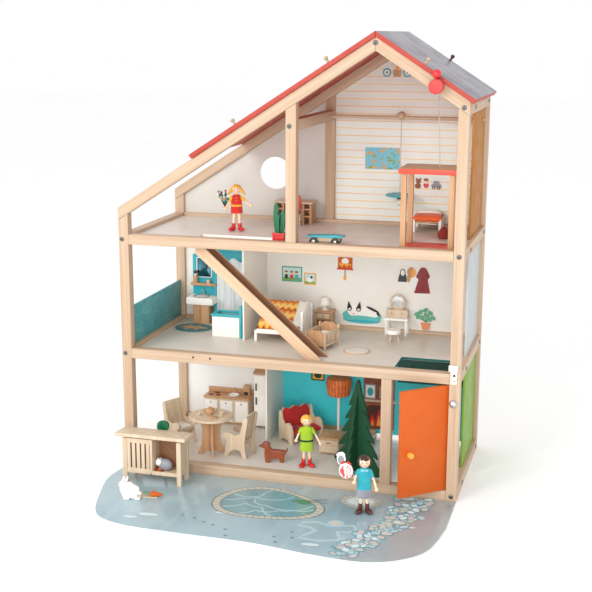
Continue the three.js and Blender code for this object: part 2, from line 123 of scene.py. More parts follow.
class Surface:
    """A procedural material under construction, whose pattern keeps to the piece as it moves."""

    def __init__(self, name, roughness=0.5, coat=0.0, metallic=0.0):
        self.material = bpy.data.materials.new(name)
        self.material.use_nodes = True
        self.tree = self.material.node_tree
        self.shader = self.tree.nodes["Principled BSDF"]
        self.shader.inputs["Roughness"].default_value = roughness
        self.shader.inputs["Metallic"].default_value = metallic
        self.shader.inputs["Coat Weight"].default_value = coat
        self.shader.inputs["Coat Roughness"].default_value = 0.15
        self.place = self.tree.nodes.new("ShaderNodeTexCoord").outputs["Object"]

    def feed(self, socket, value):
        if isinstance(value, bpy.types.NodeSocket):
            self.tree.links.new(value, socket)
        else:
            socket.default_value = value

    def mapped(self, scale, slope=0.0):
        """The place, turned back by a slope about Y and then scaled along each axis."""
        node = self.tree.nodes.new("ShaderNodeMapping")
        node.vector_type = "TEXTURE"
        node.inputs["Rotation"].default_value = (0, slope, 0)
        node.inputs["Scale"].default_value = [1 / value for value in scale]
        self.feed(node.inputs["Vector"], self.place)
        return node.outputs["Vector"]

    def noise(self, scale, detail=3.0, distortion=0.0, slope=0.0):
        """Noise from 0 to 1; scale is how many times it changes in a metre, along each axis."""
        if not hasattr(scale, "__len__"):
            scale = (scale, scale, scale)
        node = self.tree.nodes.new("ShaderNodeTexNoise")
        node.inputs["Scale"].default_value = 1
        node.inputs["Detail"].default_value = detail
        node.inputs["Distortion"].default_value = distortion
        self.feed(node.inputs["Vector"], self.mapped(scale, slope))
        return node.outputs["Fac"]

    def fit(self, value, low, high, to_low=0.0, to_high=1.0, smooth=True):
        node = self.tree.nodes.new("ShaderNodeMapRange")
        node.interpolation_type = "SMOOTHSTEP" if smooth else "LINEAR"
        self.feed(node.inputs["Value"], value)
        node.inputs["From Min"].default_value = low
        node.inputs["From Max"].default_value = high
        node.inputs["To Min"].default_value = to_low
        node.inputs["To Max"].default_value = to_high
        return node.outputs["Result"]

    def math(self, operation, first, second=0.0):
        node = self.tree.nodes.new("ShaderNodeMath")
        node.operation = operation
        self.feed(node.inputs[0], first)
        self.feed(node.inputs[1], second)
        return node.outputs["Value"]

    def mix(self, factor, first, second, mode="MIX"):
        node = self.tree.nodes.new("ShaderNodeMix")
        node.data_type = "RGBA"
        node.blend_type = mode
        self.feed(node.inputs[0], factor)
        self.feed(node.inputs[6], first)
        self.feed(node.inputs[7], second)
        return node.outputs[2]

    def axes(self):
        """The place's x, y and z, each as a number in metres."""
        node = self.tree.nodes.new("ShaderNodeSeparateXYZ")
        self.feed(node.inputs[0], self.place)
        return node.outputs

    def colour(self, value):
        self.feed(self.shader.inputs["Base Color"], value)

    def gloss(self, variation, low, high):
        self.feed(self.shader.inputs["Roughness"], self.fit(variation, 0.3, 0.7, low, high))

    def relief(self, height, depth):
        """Bumps of that depth in millimetres."""
        node = self.tree.nodes.new("ShaderNodeBump")
        node.inputs["Strength"].default_value = 0.6
        node.inputs["Distance"].default_value = depth * MM
        self.feed(node.inputs["Height"], height)
        self.feed(self.shader.inputs["Normal"], node.outputs["Normal"])


def stretched(along, length_scale, width_scale):
    return [length_scale if axis == along else width_scale for axis in "XYZ"]


def make_wood(name, light, dark, along="Z", slope=0.0, roughness=0.5, coat=0.08):
    """Clear-lacquered wood: fine fibres and broad growth bands that run along one axis."""
    s = Surface(name, roughness, coat)
    fibres = s.noise(stretched(along, 9, 520), 4, 0.3, slope)
    bands = s.noise(stretched(along, 2.2, 75), 2, 0.8, slope)
    patches = s.noise(stretched(along, 5, 16), 1, 0.0, slope)
    figure = s.math("ADD", s.math("MULTIPLY", fibres, 0.45), s.math("MULTIPLY", bands, 0.55))
    tone = s.mix(s.fit(figure, 0.34, 0.64), dark, light)
    s.colour(s.mix(s.fit(patches, 0.35, 0.7, 0.0, 0.28), tone, dark))
    s.gloss(fibres, roughness - 0.06, roughness + 0.12)
    s.relief(fibres, 0.05)
    return s.material


def make_paint(name, base, worn, roughness=0.45, coat=0.05, fleck=0.3):
    """Paint on wood: uneven in tone, with a little of the fibres telling through."""
    s = Surface(name, roughness, coat)
    cloud = s.noise(26, 3)
    fine = s.noise(900, 2)
    tone = s.mix(s.fit(cloud, 0.35, 0.75, 0.0, fleck), base, worn)
    s.colour(s.mix(s.fit(fine, 0.6, 0.8, 0.0, 0.25), tone, worn))
    s.gloss(cloud, roughness - 0.06, roughness + 0.1)
    s.relief(fine, 0.03)
    return s.material


def make_metal(name, base, roughness=0.22):
    s = Surface(name, roughness, 0.0, 1.0)
    scratches = s.noise((700, 700, 60), 3)
    s.colour(s.mix(s.fit(scratches, 0.4, 0.7, 0.0, 0.4), base, paint(150, 150, 152)))
    s.gloss(scratches, roughness - 0.06, roughness + 0.12)
    s.relief(scratches, 0.01)
    return s.material


def make_cloth(name, base, shade, threads=1500, roughness=0.85):
    """A plain weave with some tonal variation."""
    s = Surface(name, roughness)
    s.shader.inputs["Sheen Weight"].default_value = 0.15
    weave = s.noise(threads, 1)
    cloud = s.noise(60, 2)
    tone = s.mix(s.fit(cloud, 0.35, 0.7, 0.0, 0.5), base, shade)
    s.colour(s.mix(s.fit(weave, 0.4, 0.6, 0.0, 0.35), tone, shade))
    s.relief(weave, 0.12)
    return s.material


BIRCH_LIGHT = paint(204, 179, 153)
BIRCH_DARK = paint(187, 156, 126)
birch_x = make_wood("birch_along_x", BIRCH_LIGHT, BIRCH_DARK, "X")
birch_y = make_wood("birch_along_y", BIRCH_LIGHT, BIRCH_DARK, "Y")
birch_z = make_wood("birch_along_z", BIRCH_LIGHT, BIRCH_DARK, "Z")
birch_up = make_wood("birch_up_the_roof", BIRCH_LIGHT, BIRCH_DARK, "X", slope=-PITCH)
birch_down = make_wood("birch_down_the_roof", BIRCH_LIGHT, BIRCH_DARK, "X", slope=PITCH)
pale_wood = make_wood("pale_maple", paint(222, 203, 178), paint(204, 178, 148), "Z")
tan_wood = make_wood("tan_beech", paint(208, 164, 122), paint(184, 136, 96), "Z")
tan_wood_x = make_wood("tan_beech_flat", paint(206, 168, 130), paint(186, 142, 104), "X")
SLIDE_PITCH = math.radians(41.3)
slide_rail = make_wood("slide_rail_wood", paint(222, 190, 156), paint(200, 162, 126), "X", slope=SLIDE_PITCH)
# The trough's darker wood is painted shade.
slide_trough_shade = make_wood("slide_bed_wood", paint(158, 112, 80), paint(134, 90, 62), "X", slope=SLIDE_PITCH)

white_board = make_paint("white_board", paint(240, 237, 230), paint(231, 226, 217), 0.45)
cut_edge = make_paint("white_cut_edge", paint(247, 243, 236), paint(230, 220, 206), 0.6, 0.0)
floor_board = make_paint("grey_floor_board", paint(221, 213, 203), paint(213, 204, 193), 0.38, 0.12, 0.25)
teal_paint = make_paint("teal_paint", paint(52, 172, 184), paint(40, 152, 166), 0.4)
green_board = make_paint("green_board", paint(126, 164, 44), paint(112, 148, 40), 0.5, 0.05)
pale_board = make_paint("pale_blue_board", paint(192, 196, 196), paint(178, 184, 186), 0.5, 0.05)
mustard_board = make_paint("mustard_board", paint(176, 112, 22), paint(158, 96, 18), 0.55, 0.0)
roof_red = make_paint("roof_red", paint(178, 62, 46), paint(158, 48, 36), 0.5, 0.0)
roof_under = make_paint("roof_underside", paint(196, 60, 44), paint(168, 48, 36), 0.45)
red_paint = make_paint("red_paint", paint(214, 38, 34), paint(184, 26, 26), 0.3, 0.35)
coral_paint = make_paint("coral_paint", paint(200, 54, 52), paint(184, 42, 42), 0.45, 0.05)
lift_red = make_paint("lift_red", paint(220, 72, 48), paint(200, 58, 38), 0.42)
# A darker copy of the white board, painted shade for the attic's left wall, which the light strikes without
# the roof's shadow.
attic_shaded_white = make_paint("attic_white_board", paint(214, 211, 204), paint(204, 200, 192), 0.5)
orange_paint = make_paint("orange_paint", paint(206, 91, 8), paint(196, 81, 6), 0.6, 0.0)
yellow_paint = make_paint("yellow_paint", paint(248, 170, 60), paint(236, 144, 40), 0.4)
black_paint = make_paint("black_paint", paint(34, 32, 32), paint(52, 46, 44), 0.4)
steel = make_metal("polished_steel", paint(214, 216, 218))
bolt_steel = make_metal("bolt_steel", paint(112, 112, 112), 0.38)
brown_paint = make_paint("brown_paint", paint(150, 74, 42), paint(124, 56, 32), 0.45)
dark_brown = make_paint("dark_brown_paint", paint(86, 44, 30), paint(64, 34, 24), 0.4)
pine_green = make_paint("pine_green_paint", paint(4, 68, 37), paint(3, 56, 31), 0.6, 0.0)
cactus_green = make_paint("cactus_green_paint", paint(12, 104, 64), paint(8, 86, 52), 0.5, 0.05)
white_paint = make_paint("white_paint", paint(247, 244, 238), paint(232, 226, 216), 0.4)
grey_paint = make_paint("grey_paint", paint(150, 152, 158), paint(128, 130, 138), 0.5)
skin = make_paint("doll_skin", paint(250, 218, 186), paint(240, 196, 160), 0.5, 0.1)
blush = make_paint("doll_blush", paint(240, 150, 120), paint(232, 140, 112), 0.6, 0.0)
cord_grey = make_cloth("braided_cord", paint(196, 190, 182), paint(150, 144, 138), 2400)

# ---------------------------------------------------------------- mesh building

body_of = {
    node: body
    for body, nodes in frame["record"]["behaviour"]["bodies"].items()
    for node in nodes
}


def smooth_by_angle(mesh):
    mesh.shade_smooth()
    mesh.set_sharp_from_angle(angle=SHARP)


def ease_edges(mesh, width):
    """Rounds the sharp edges of a bmesh; width is in the mesh's own units."""
    sharp = [e for e in mesh.edges if len(e.link_faces) == 2 and e.calc_face_angle(0) > SHARP]
    bmesh.ops.bevel(
        mesh, geom=sharp, offset=width, segments=2, profile=0.6, affect="EDGES", clamp_overlap=True
    )


def disc_points(radius_x, radius_y=None, count=28, centre=(0, 0), turn=0.0):
    """An ellipse as a list of corners."""
    radius_y = radius_x if radius_y is None else radius_y
    points = []
    for i in range(count):
        angle = 2 * math.pi * i / count
        a = radius_x * math.cos(angle)
        b = radius_y * math.sin(angle)
        points.append((
            centre[0] + a * math.cos(turn) - b * math.sin(turn),
            centre[1] + a * math.sin(turn) + b * math.cos(turn),
        ))
    return points


def rounded_rectangle(x0, x1, y0, y1, radius, steps=4):
    corners = [(x1, y1, 0), (x0, y1, 90), (x0, y0, 180), (x1, y0, 270)]
    points = []
    for x, y, start in corners:
        cx = x - radius if x == x1 else x + radius
        cy = y - radius if y == y1 else y + radius
        for i in range(steps + 1):
            angle = math.radians(start + 90 * i / steps)
            points.append((cx + radius * math.cos(angle), cy + radius * math.sin(angle)))
    return points


CUSHION_CUTS = 11
CUSHION_ROUNDING = 0.05


class Model:
    """Collects the parts of one piece, in millimetres from its own place, and makes one object."""

    def __init__(self, name, place=(0, 0, 0), turn=0.0):
        self.name = name
        self.matrix = Matrix.Translation(place) @ Matrix.Rotation(math.radians(turn), 4, "Z")
        self.mesh = bmesh.new()
        self.materials = []

    def keep(self, part, material, matrix=None, edge=0.0):
        if edge:
            ease_edges(part, edge)
        if material not in self.materials:
            self.materials.append(material)
        index = self.materials.index(material)
        for face in part.faces:
            face.material_index = index
        if matrix is not None:
            part.transform(matrix)
        mesh = bpy.data.meshes.new("part")
        part.to_mesh(mesh)
        part.free()
        self.mesh.from_mesh(mesh)
        bpy.data.meshes.remove(mesh)
        return self

    def block(self, x, y, z, material, edge=0.8, tilt=None):
        """A block between two values on each axis; tilt is a matrix about its middle."""
        part = bmesh.new()
        size = Vector((x[1] - x[0], y[1] - y[0], z[1] - z[0]))
        middle = Vector((x[0] + x[1], y[0] + y[1], z[0] + z[1])) / 2
        bmesh.ops.create_cube(part, size=1, matrix=Matrix.Diagonal((*size, 1)))
        if edge:
            ease_edges(part, edge)
        return self.keep(part, material, Matrix.Translation(middle) @ (tilt or Matrix()))

    def cushion(self, x, y, z, material, rim=0.45, pull=0.07, tilt=None):
        """A stuffed form: it is crowned, thinner at its rim, and its sides pull in between its corners."""
        part = bmesh.new()
        half = Vector((x[1] - x[0], y[1] - y[0], z[1] - z[0])) / 2
        middle = Vector((x[0] + x[1], y[0] + y[1], z[0] + z[1])) / 2
        bmesh.ops.create_cube(part, size=2)
        bmesh.ops.subdivide_edges(part, edges=part.edges, cuts=CUSHION_CUTS, use_grid_fill=True)
        for corner in part.verts:
            across, along, up = corner.co
            crown = rim + (1 - rim) * math.sqrt(abs((1 - across**4) * (1 - along**4)))
            bulge = 1 - CUSHION_ROUNDING * up**4
            corner.co = (
                across * half.x * (1 - pull * (1 - along**2)) * bulge,
                along * half.y * (1 - pull * (1 - across**2)) * bulge,
                up * half.z * crown,
            )
        return self.keep(part, material, Matrix.Translation(middle) @ (tilt or Matrix()))

    def ball(self, centre, radius, material, stretch=(1, 1, 1), turn=None, rings=14):
        part = bmesh.new()
        bmesh.ops.create_uvsphere(part, u_segments=2 * rings, v_segments=rings, radius=radius)
        matrix = Matrix.Translation(centre) @ (turn or Matrix()) @ Matrix.Diagonal((*stretch, 1))
        return self.keep(part, material, matrix)

    def rod(self, start, end, radius, material, end_radius=None, edge=0.5, sides=20):
        """A round bar or a cone between two points."""
        start = Vector(start)
        end = Vector(end)
        part = bmesh.new()
        bmesh.ops.create_cone(
            part,
            cap_ends=True,
            segments=sides,
            radius1=radius,
            radius2=radius if end_radius is None else end_radius,
            depth=(end - start).length,
        )
        aim = (end - start).to_track_quat("Z", "Y").to_matrix().to_4x4()
        return self.keep(part, material, Matrix.Translation((start + end) / 2) @ aim, edge)

    def limb(self, points, radius, material):
        """A bent round bar with round joints and ends."""
        for start, end in zip(points, points[1:]):
            self.rod(start, end, radius, material, edge=0.0, sides=14)
        for point in points:
            self.ball(point, radius, material, rings=7)
        return self

    def plate(self, outline, thickness, material, facing="front", at_depth=0.0, edge=0.5, matrix=None):
        """A flat cut-out: facing front it is drawn in (x, z), side in (y, z) and up in (x, y)."""
        part = bmesh.new()
        corners = [part.verts.new((a, b, 0)) for a, b in outline]
        face = part.faces.new(corners)
        made = bmesh.ops.extrude_face_region(part, geom=[face])
        moved = [v for v in made["geom"] if isinstance(v, bmesh.types.BMVert)]
        bmesh.ops.translate(part, verts=moved, vec=(0, 0, thickness))
        bmesh.ops.recalc_face_normals(part, faces=part.faces)
        frames = {
            "front": Matrix(((1, 0, 0, 0), (0, 0, 1, at_depth), (0, 1, 0, 0), (0, 0, 0, 1))),
            "side": Matrix(((0, 0, 1, at_depth), (1, 0, 0, 0), (0, 1, 0, 0), (0, 0, 0, 1))),
            "up": Matrix.Translation((0, 0, at_depth)),
        }
        if edge:
            ease_edges(part, edge)
        turn = frames[facing] if matrix is None else matrix @ frames[facing]
        return self.keep(part, material, turn)

    def lathe(self, profile, material, centre=(0, 0, 0), turn=None, steps=36):
        """A turned shape; the profile is (radius, height) from the bottom up."""
        part = bmesh.new()
        corners = [part.verts.new((radius, 0, height)) for radius, height in profile]
        edges = [part.edges.new(pair) for pair in zip(corners, corners[1:])]
        bmesh.ops.spin(
            part,
            geom=corners + edges,
            cent=(0, 0, 0),
            axis=(0, 0, 1),
            angle=2 * math.pi,
            steps=steps,
            use_duplicate=False,
        )
        bmesh.ops.remove_doubles(part, verts=part.verts, dist=0.001)
        bmesh.ops.recalc_face_normals(part, faces=part.faces)
        return self.keep(part, material, Matrix.Translation(centre) @ (turn or Matrix()))

    def make(self, body="root", slot="birch", replaces=()):
        """Makes the object, which rides on a body unless that is None, and gives it back."""
        bmesh.ops.recalc_face_normals(self.mesh, faces=self.mesh.faces)
        self.mesh.transform(Matrix.Translation(CORNER) @ Matrix.Scale(MM, 4) @ self.matrix)
        mesh = bpy.data.meshes.new(self.name)
        self.mesh.to_mesh(mesh)
        self.mesh.free()
        for material in self.materials:
            mesh.materials.append(material)
        smooth_by_angle(mesh)
        piece = bpy.data.objects.new(self.name, mesh)
        bpy.context.collection.objects.link(piece)
        if body:
            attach(piece, body)
        if replaces:
            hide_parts(*replaces)
        return piece


# ---------------------------------------------------------------- the frame and its boards


def finished_copy(node, materials, choose=None, edge=0.6):
    """Shows a copy of a CAD piece with eased edges in its place.

    choose picks a face's material by its normal and middle; without it they all take the first.
    """
    part = bmesh.new()
    part.from_mesh(frame["nodes"][node].data)
    bmesh.ops.remove_doubles(part, verts=part.verts, dist=0.01 * MM)
    bmesh.ops.dissolve_limit(part, angle_limit=math.radians(1), verts=part.verts, edges=part.edges)
    bmesh.ops.recalc_face_normals(part, faces=part.faces)
    ease_edges(part, edge * MM)
    for face in part.faces:
        face.material_index = choose(face.normal, face.calc_center_median()) if choose else 0
    mesh = bpy.data.meshes.new("finished_" + node)
    part.to_mesh(mesh)
    part.free()
    for material in materials:
        mesh.materials.append(material)
    smooth_by_angle(mesh)
    piece = bpy.data.objects.new("finished_" + node, mesh)
    bpy.context.collection.objects.link(piece)
    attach(piece, body_of[node])
    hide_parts(node)
    return piece


def grain_of(node):
    """The birch whose grain runs along a bar's longest side."""
    low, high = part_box(node)
    size = high - low
    return (birch_x, birch_y, birch_z)[max(range(3), key=lambda i: size[i])]


for node in frame["nodes"]:
    if node.endswith(("_post", "_beam")) and not node.startswith("lift_"):
        finished_copy(node, [grain_of(node)], edge=1.3)
for side in ("front", "back"):
    finished_copy(f"{side}_left_rafter", [birch_up], edge=1.3)
    finished_copy(f"{side}_right_rafter", [birch_down], edge=1.0)


def face_up(normal, middle):
    """0 for a board's top, 1 for its other faces."""
    return 0 if normal.z > FACING else 1


def floor_face(normal, middle):
    """0 for a floor's top, 1 for its cut edges, 2 for the cut edges of the lift's shaft, which are dark
    green: painted shade.
    """
    if normal.z > FACING:
        return 0
    low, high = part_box("first_floor")
    clear = 5 * MM
    inside = middle.x < high.x - clear and low.y + clear < middle.y < high.y - clear
    by_the_lift = middle.x > (low.x + 3 * high.x) / 4
    upright = abs(normal.z) < 1 - FACING
    return 2 if inside and by_the_lift and upright else 1


# The shaft's cut edges are painted dark green as shade.
shaft_edge_shade = make_paint("shaft_edge_shade", paint(12, 96, 90), paint(8, 82, 78))
for storey in ("ground", "first", "attic"):
    finished_copy(f"{storey}_floor", [floor_board, cut_edge, shaft_edge_shade], floor_face, edge=0.3)


def make_striped_board():
    """White board printed with thin level lines, by turns yellow and orange."""
    s = Surface("striped_board", 0.45, 0.15)
    pitch = 16.1 * MM
    height = s.axes()["Z"]
    tone = s.mix(s.fit(s.noise(26, 3), 0.35, 0.75, 0.0, 0.3), paint(238, 243, 238), paint(230, 232, 222))
    row = s.math("DIVIDE", height, pitch)
    distance = s.math("ABSOLUTE", s.math("SUBTRACT", s.math("FRACT", row), 0.5))
    waver = s.math("MULTIPLY", s.noise((9, 9, 60), 2), 0.05)
    line = s.fit(s.math("ADD", distance, waver), 0.055, 0.085, 1.0, 0.0)
    which = s.math("GREATER_THAN", s.math("FRACT", s.math("MULTIPLY", row, 0.5)), 0.5)
    ink = s.mix(which, paint(250, 204, 60), paint(244, 186, 88))
    s.colour(s.mix(line, tone, ink))
    s.gloss(s.noise(40, 2), 0.4, 0.52)
    s.relief(s.noise(900, 2), 0.03)
    return s.material


def make_kitchen_and_living_board(border_x, shaft):
    """White board, turquoise beyond the border, with a dark green of painted shade right of and above the
    shaft's corner.
    """
    s = Surface("kitchen_and_living_board", 0.45, 0.15)
    cloud = s.noise(26, 3)
    kitchen = s.mix(s.fit(cloud, 0.35, 0.75, 0.0, 0.3), paint(238, 238, 235), paint(229, 228, 222))
    living = s.mix(s.fit(cloud, 0.35, 0.75, 0.0, 0.5), paint(70, 214, 224), paint(56, 198, 212))
    axes = s.axes()
    # Dark green painted shade on the wall right of and above the shaft's corner.
    green = s.mix(s.fit(cloud, 0.35, 0.75, 0.0, 0.5), paint(20, 92, 82), paint(15, 78, 70))
    beyond = s.math("GREATER_THAN", axes["X"], shaft.x)
    above = s.math("GREATER_THAN", axes["Z"], shaft.z)
    living = s.mix(s.math("MULTIPLY", beyond, above), living, green)
    s.colour(s.mix(s.math("GREATER_THAN", axes["X"], border_x), kitchen, living))
    s.gloss(cloud, 0.4, 0.52)
    s.relief(s.noise(900, 2), 0.03)
    return s.material


def make_water_board():
    """Teal board printed with paler ripples, for the low wall."""
    s = Surface("water_board", 0.42, 0.15)
    ripple = s.noise((30, 30, 160), 2, 1.2)
    cloud = s.noise(20, 3)
    tone = s.mix(s.fit(cloud, 0.35, 0.75), paint(74, 160, 166), paint(58, 142, 150))
    s.colour(s.mix(s.fit(ripple, 0.56, 0.62, 0.0, 0.35), tone, paint(128, 190, 192)))
    s.gloss(cloud, 0.36, 0.5)
    s.relief(ripple, 0.02)
    return s.material


def front_face(normal, middle):
    """0 for a board's side that faces the front, 1 for its other faces."""
    return 0 if normal.y < -FACING else 1


striped_board = make_striped_board()
shaft_corner = at(535, 0, 140)
partition_side = at(span("ground_partition")[1].x, 0, 0).x
living_board = make_kitchen_and_living_board(partition_side, shaft_corner)
finished_copy("ground_back_wall", [living_board, white_board], front_face, edge=0.2)
finished_copy("attic_right_back_wall", [striped_board, white_board], front_face, edge=0.2)
finished_copy("first_back_wall", [white_board], edge=0.2)
# The attic's left wall takes the darker white of painted shade on its front.
finished_copy("attic_left_back_wall", [attic_shaded_white, white_board], front_face, edge=0.2)
for node, board in (
    ("first_partition", white_board),
    ("ground_partition", white_board),
    ("first_left_half_wall", make_water_board()),
    ("ground_right_panel", green_board),
    ("first_right_panel", pale_board),
    ("attic_right_panel", mustard_board),
):
    finished_copy(node, [board], edge=0.3)


def make_shingle_paint():
    """Grey-mauve gloss paint on the roof, with faint rows of shingles."""
    s = Surface("roof_grey", 0.42, 0.12)
    cloud = s.noise(18, 3)
    tone = s.mix(s.fit(cloud, 0.3, 0.75), paint(142, 138, 146), paint(120, 116, 127))
    rows = s.math("FRACT", s.math("MULTIPLY", s.axes()["Z"], 1 / (22 * MM)))
    s.colour(s.mix(s.fit(rows, 0.0, 0.12, 0.35, 0.0), tone, paint(98, 94, 106)))
    s.gloss(cloud, 0.36, 0.5)
    s.relief(s.fit(rows, 0.0, 0.2), 0.1)
    return s.material


def roof_face(normal, middle):
    """0 for a roof board's top, 1 for its edges, 2 for its underside."""
    level = 0.7
    if normal.z > level:
        return 0
    return 2 if normal.z < -level else 1


shingles = make_shingle_paint()
for node in ("left_roof_board", "right_roof_board"):
    finished_copy(node, [shingles, roof_red, roof_under], roof_face, edge=0.8)

# ---------------------------------------------------------------- door, lift, crank, lamp, slide

finished_copy("door_leaf", [orange_paint], edge=0.5)
finished_copy("door_knob", [yellow_paint], edge=0.4)
finished_copy("door_hinge_pin", [steel], edge=0.1)
finished_copy("door_bell", [steel], edge=0.2)

finished_copy("lift_roof", [tan_wood_x, lift_red], face_up, edge=0.8)
finished_copy("lift_floor", [lift_red], edge=0.6)
for depthways in ("front", "back"):
    for sideways in ("left", "right"):
        finished_copy(f"lift_{depthways}_{sideways}_post", [tan_wood], edge=0.9)

finished_copy("crank_disc", [coral_paint], edge=0.4)
finished_copy("crank_handle", [red_paint], edge=0.1)
finished_copy("crank_axle", [birch_y], edge=0.3)
finished_copy("lamp_rod", [birch_x], edge=0.2)
finished_copy("lamp_bead", [birch_z], edge=0.3)


def slide_face(normal, middle):
    """0 for the rails, 1 for the trough between them and the rails' inner faces, which take the darker wood
    of painted shade.
    """
    low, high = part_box("slide")
    skin_depth = 1 * MM
    half_trough = 12 * MM
    inside = low.y + skin_depth < middle.y < high.y - skin_depth
    upward = 0.3
    rail_top = normal.z > upward and abs(middle.y - (low.y + high.y) / 2) > half_trough
    return 1 if inside and normal.z > -upward and not rail_top else 0


finished_copy("slide", [slide_rail, slide_trough_shade], slide_face, edge=0.6)


def make_lamp():
    """The pendant's teal disc, its black collar and its white bulb, on the CAD lamp's own sizes."""
    low, high = span("lamp_shade")
    centre = (low + high) / 2
    radius = (high.x - low.x) / 2
    top = high.z
    disc = 4
    lamp = Model("lamp_with_bulb", (centre.x, centre.y, 0))
    lamp.lathe(
        [(0, top - disc), (radius - 1, top - disc), (radius, top - disc + 1), (radius, top - 1),
         (radius - 1, top), (0, top)],
        teal_paint,
    )
    lamp.rod((0, 0, top - disc - 6), (0, 0, top - disc), 6, black_paint)
    bulb = Surface("lamp_bulb", 0.35, 0.3)
    bulb.colour(bulb.mix(bulb.fit(bulb.noise(60, 2), 0.3, 0.7), paint(246, 238, 222), paint(232, 218, 192)))
    bulb.relief(bulb.noise(500, 2), 0.02)
    bulb_radius = 8
    lamp.ball((0, 0, low.z + bulb_radius), bulb_radius, bulb.material)
    lamp.make("lamp", "teal_print", ["lamp_shade"])


make_lamp()

# ---------------------------------------------------------------- cords


def make_rope():
    """The lift's rope, which grows longer as the lift goes down."""
    low, high = span("lift_rope")
    radius = 0.8
    side = (low.y + high.y) / 2
    start = Vector((low.x + radius, side, high.z))
    end = Vector((high.x - radius, side, low.z))
    rope = Model("lift_rope_braided")
    steps = 24
    points = [start.lerp(end, i / steps) for i in range(steps + 1)]
    for first, second in zip(points, points[1:]):
        rope.rod(first, second, radius, cord_grey, edge=0.0, sides=10)
    piece = rope.make(None, "cord", ["lift_rope"])
    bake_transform(piece)


make_rope()
frame["nodes"]["lamp_cord"].data.materials.clear()
frame["nodes"]["lamp_cord"].data.materials.append(cord_grey)


def make_knot():
    """The knot that holds the rope in the lift's roof."""
    corner = span("lift_rope")[1]
    rope_radius = 0.8
    knot = Model("lift_rope_knot")
    place = (corner.x - rope_radius, corner.y - rope_radius, span("lift_roof")[1].z + 1.5)
    knot.ball(place, 2.2, cord_grey, (1, 1, 0.8))
    knot.make("lift", "cord")


make_knot()

# ---------------------------------------------------------------- bolts, pegs and the post's fittings

BOLT_RADIUS = 4.9
BOLT_RISE = 1.6
OUTWARD = {
    "front": Matrix.Rotation(math.pi / 2, 4, "X"),
    "back": Matrix.Rotation(-math.pi / 2, 4, "X"),
    "right": Matrix.Rotation(math.pi / 2, 4, "Y"),
    "left": Matrix.Rotation(-math.pi / 2, 4, "Y"),
}


def make_bolt(name, place, facing):
    """A domed steel head with a hexagon socket, drawn as a dark hexagon of painted shade."""
    bolt = Model(name)
    turn = OUTWARD[facing]
    rim = [(0, 0), (BOLT_RADIUS, 0), (BOLT_RADIUS, 0.4)]
    dome = [(BOLT_RADIUS * 0.86, 1.2), (BOLT_RADIUS * 0.55, BOLT_RISE), (0, BOLT_RISE)]
    bolt.lathe(rim + dome, bolt_steel, place, turn, steps=24)
    out = turn.to_3x3() @ Vector((0, 0, 1))
    foot = Vector(place) + out * (BOLT_RISE - 0.4)
    # The socket's dark hexagon is painted shade, not a recess.
    bolt.rod(foot, foot + out * 0.5, BOLT_RADIUS * 0.42, black_paint, edge=0.0, sides=6)
    bolt.make("root", "steel")


left_axis = BAR / 2 - 3
right_axis = HOUSE_RIGHT - BAR / 2
bolt_levels = [span(f"{storey}_front_beam")[0].z + BAR / 2 for storey in ("ground", "first", "attic")]
frame_bolts = [(left_axis, z) for z in bolt_levels] + [(right_axis, z) for z in bolt_levels]
frame_bolts += [(369.6, 743), (right_axis, 785), (RIDGE.x, RIDGE.z - 11)]
for i, (x, z) in enumerate(frame_bolts):
    make_bolt(f"front_bolt_{i + 1}", (x, 0, z), "front")
    make_bolt(f"back_bolt_{i + 1}", (x, HOUSE_BACK, z), "back")
side_levels = [*bolt_levels, span("eave_beam")[0].z + BAR / 2]
for i, z in enumerate(side_levels):
    for k, y in enumerate((BAR * 4, HOUSE_BACK - BAR * 1.5)):
        make_bolt(f"right_side_bolt_{i + 1}_{k + 1}", (HOUSE_RIGHT, y, z), "right")

# Two blind holes are bored in the first floor's front bar; each is shown as a dark disc of painted shade.
hole_level = 258.5
for i, x in enumerate((161, 198.5)):
    hole = Model(f"dowel_hole_shade_{i + 1}")
    hole.rod((x, 0.3, hole_level), (x, -0.25, hole_level), 2.4, dark_brown, edge=0.1)
    hole.make()


ROOF_THICKNESS = 9.3


def roof_top(x):
    """The height of the roof boards' upper face."""
    rafter_top = RIDGE.z - abs(x - RIDGE.x) * math.tan(PITCH)
    return rafter_top + ROOF_THICKNESS / math.cos(PITCH)


def make_peg(name, x, y, material):
    """A turned peg, square to the roof, that holds a board to its rafter."""
    lean = -PITCH if x < RIDGE.x else PITCH
    peg = Model(name)
    peg.lathe(
        [(0, -1), (2.6, -1), (2.6, 7), (3.9, 8.2), (4.6, 10.4), (3.6, 12.8), (1.8, 13.8), (0, 14)],
        material,
        (x, y, roof_top(x)),
        Matrix.Rotation(lean, 4, "Y"),
        steps=24,
    )
    peg.make()


# The back pegs right of the ridge are dark brown: painted shade.
for i, x in enumerate((255, 445, 632)):
    make_peg(f"front_roof_peg_{i + 1}", x, 10, birch_z)
    make_peg(f"back_roof_peg_{i + 1}", x, HOUSE_BACK - 12, birch_z if x < RIDGE.x else dark_brown)


def make_post_bracket():
    """A white wedge on a white plate, with a dark screw and a wooden plug under it."""
    bracket = Model("post_bracket")
    left = HOUSE_RIGHT - 23
    bracket.block((left, left + 18), (-7, -0.2), (274, 286), white_paint, 1.2)
    bracket.block((left + 4, left + 16), (-2, -0.2), (247, 274), white_paint, 0.6)
    bracket.rod((left + 11, -2, 265), (left + 11, -3.4, 265), 2.6, black_paint)
    bracket.rod((left + 11, -2, 254), (left + 11, -3, 254), 2.0, tan_wood)
    bracket.make("root", "white_print")


make_post_bracket()

# ---------------------------------------------------------------- prints on the walls

INK = 0.25  # how far each printed layer stands off the one below it


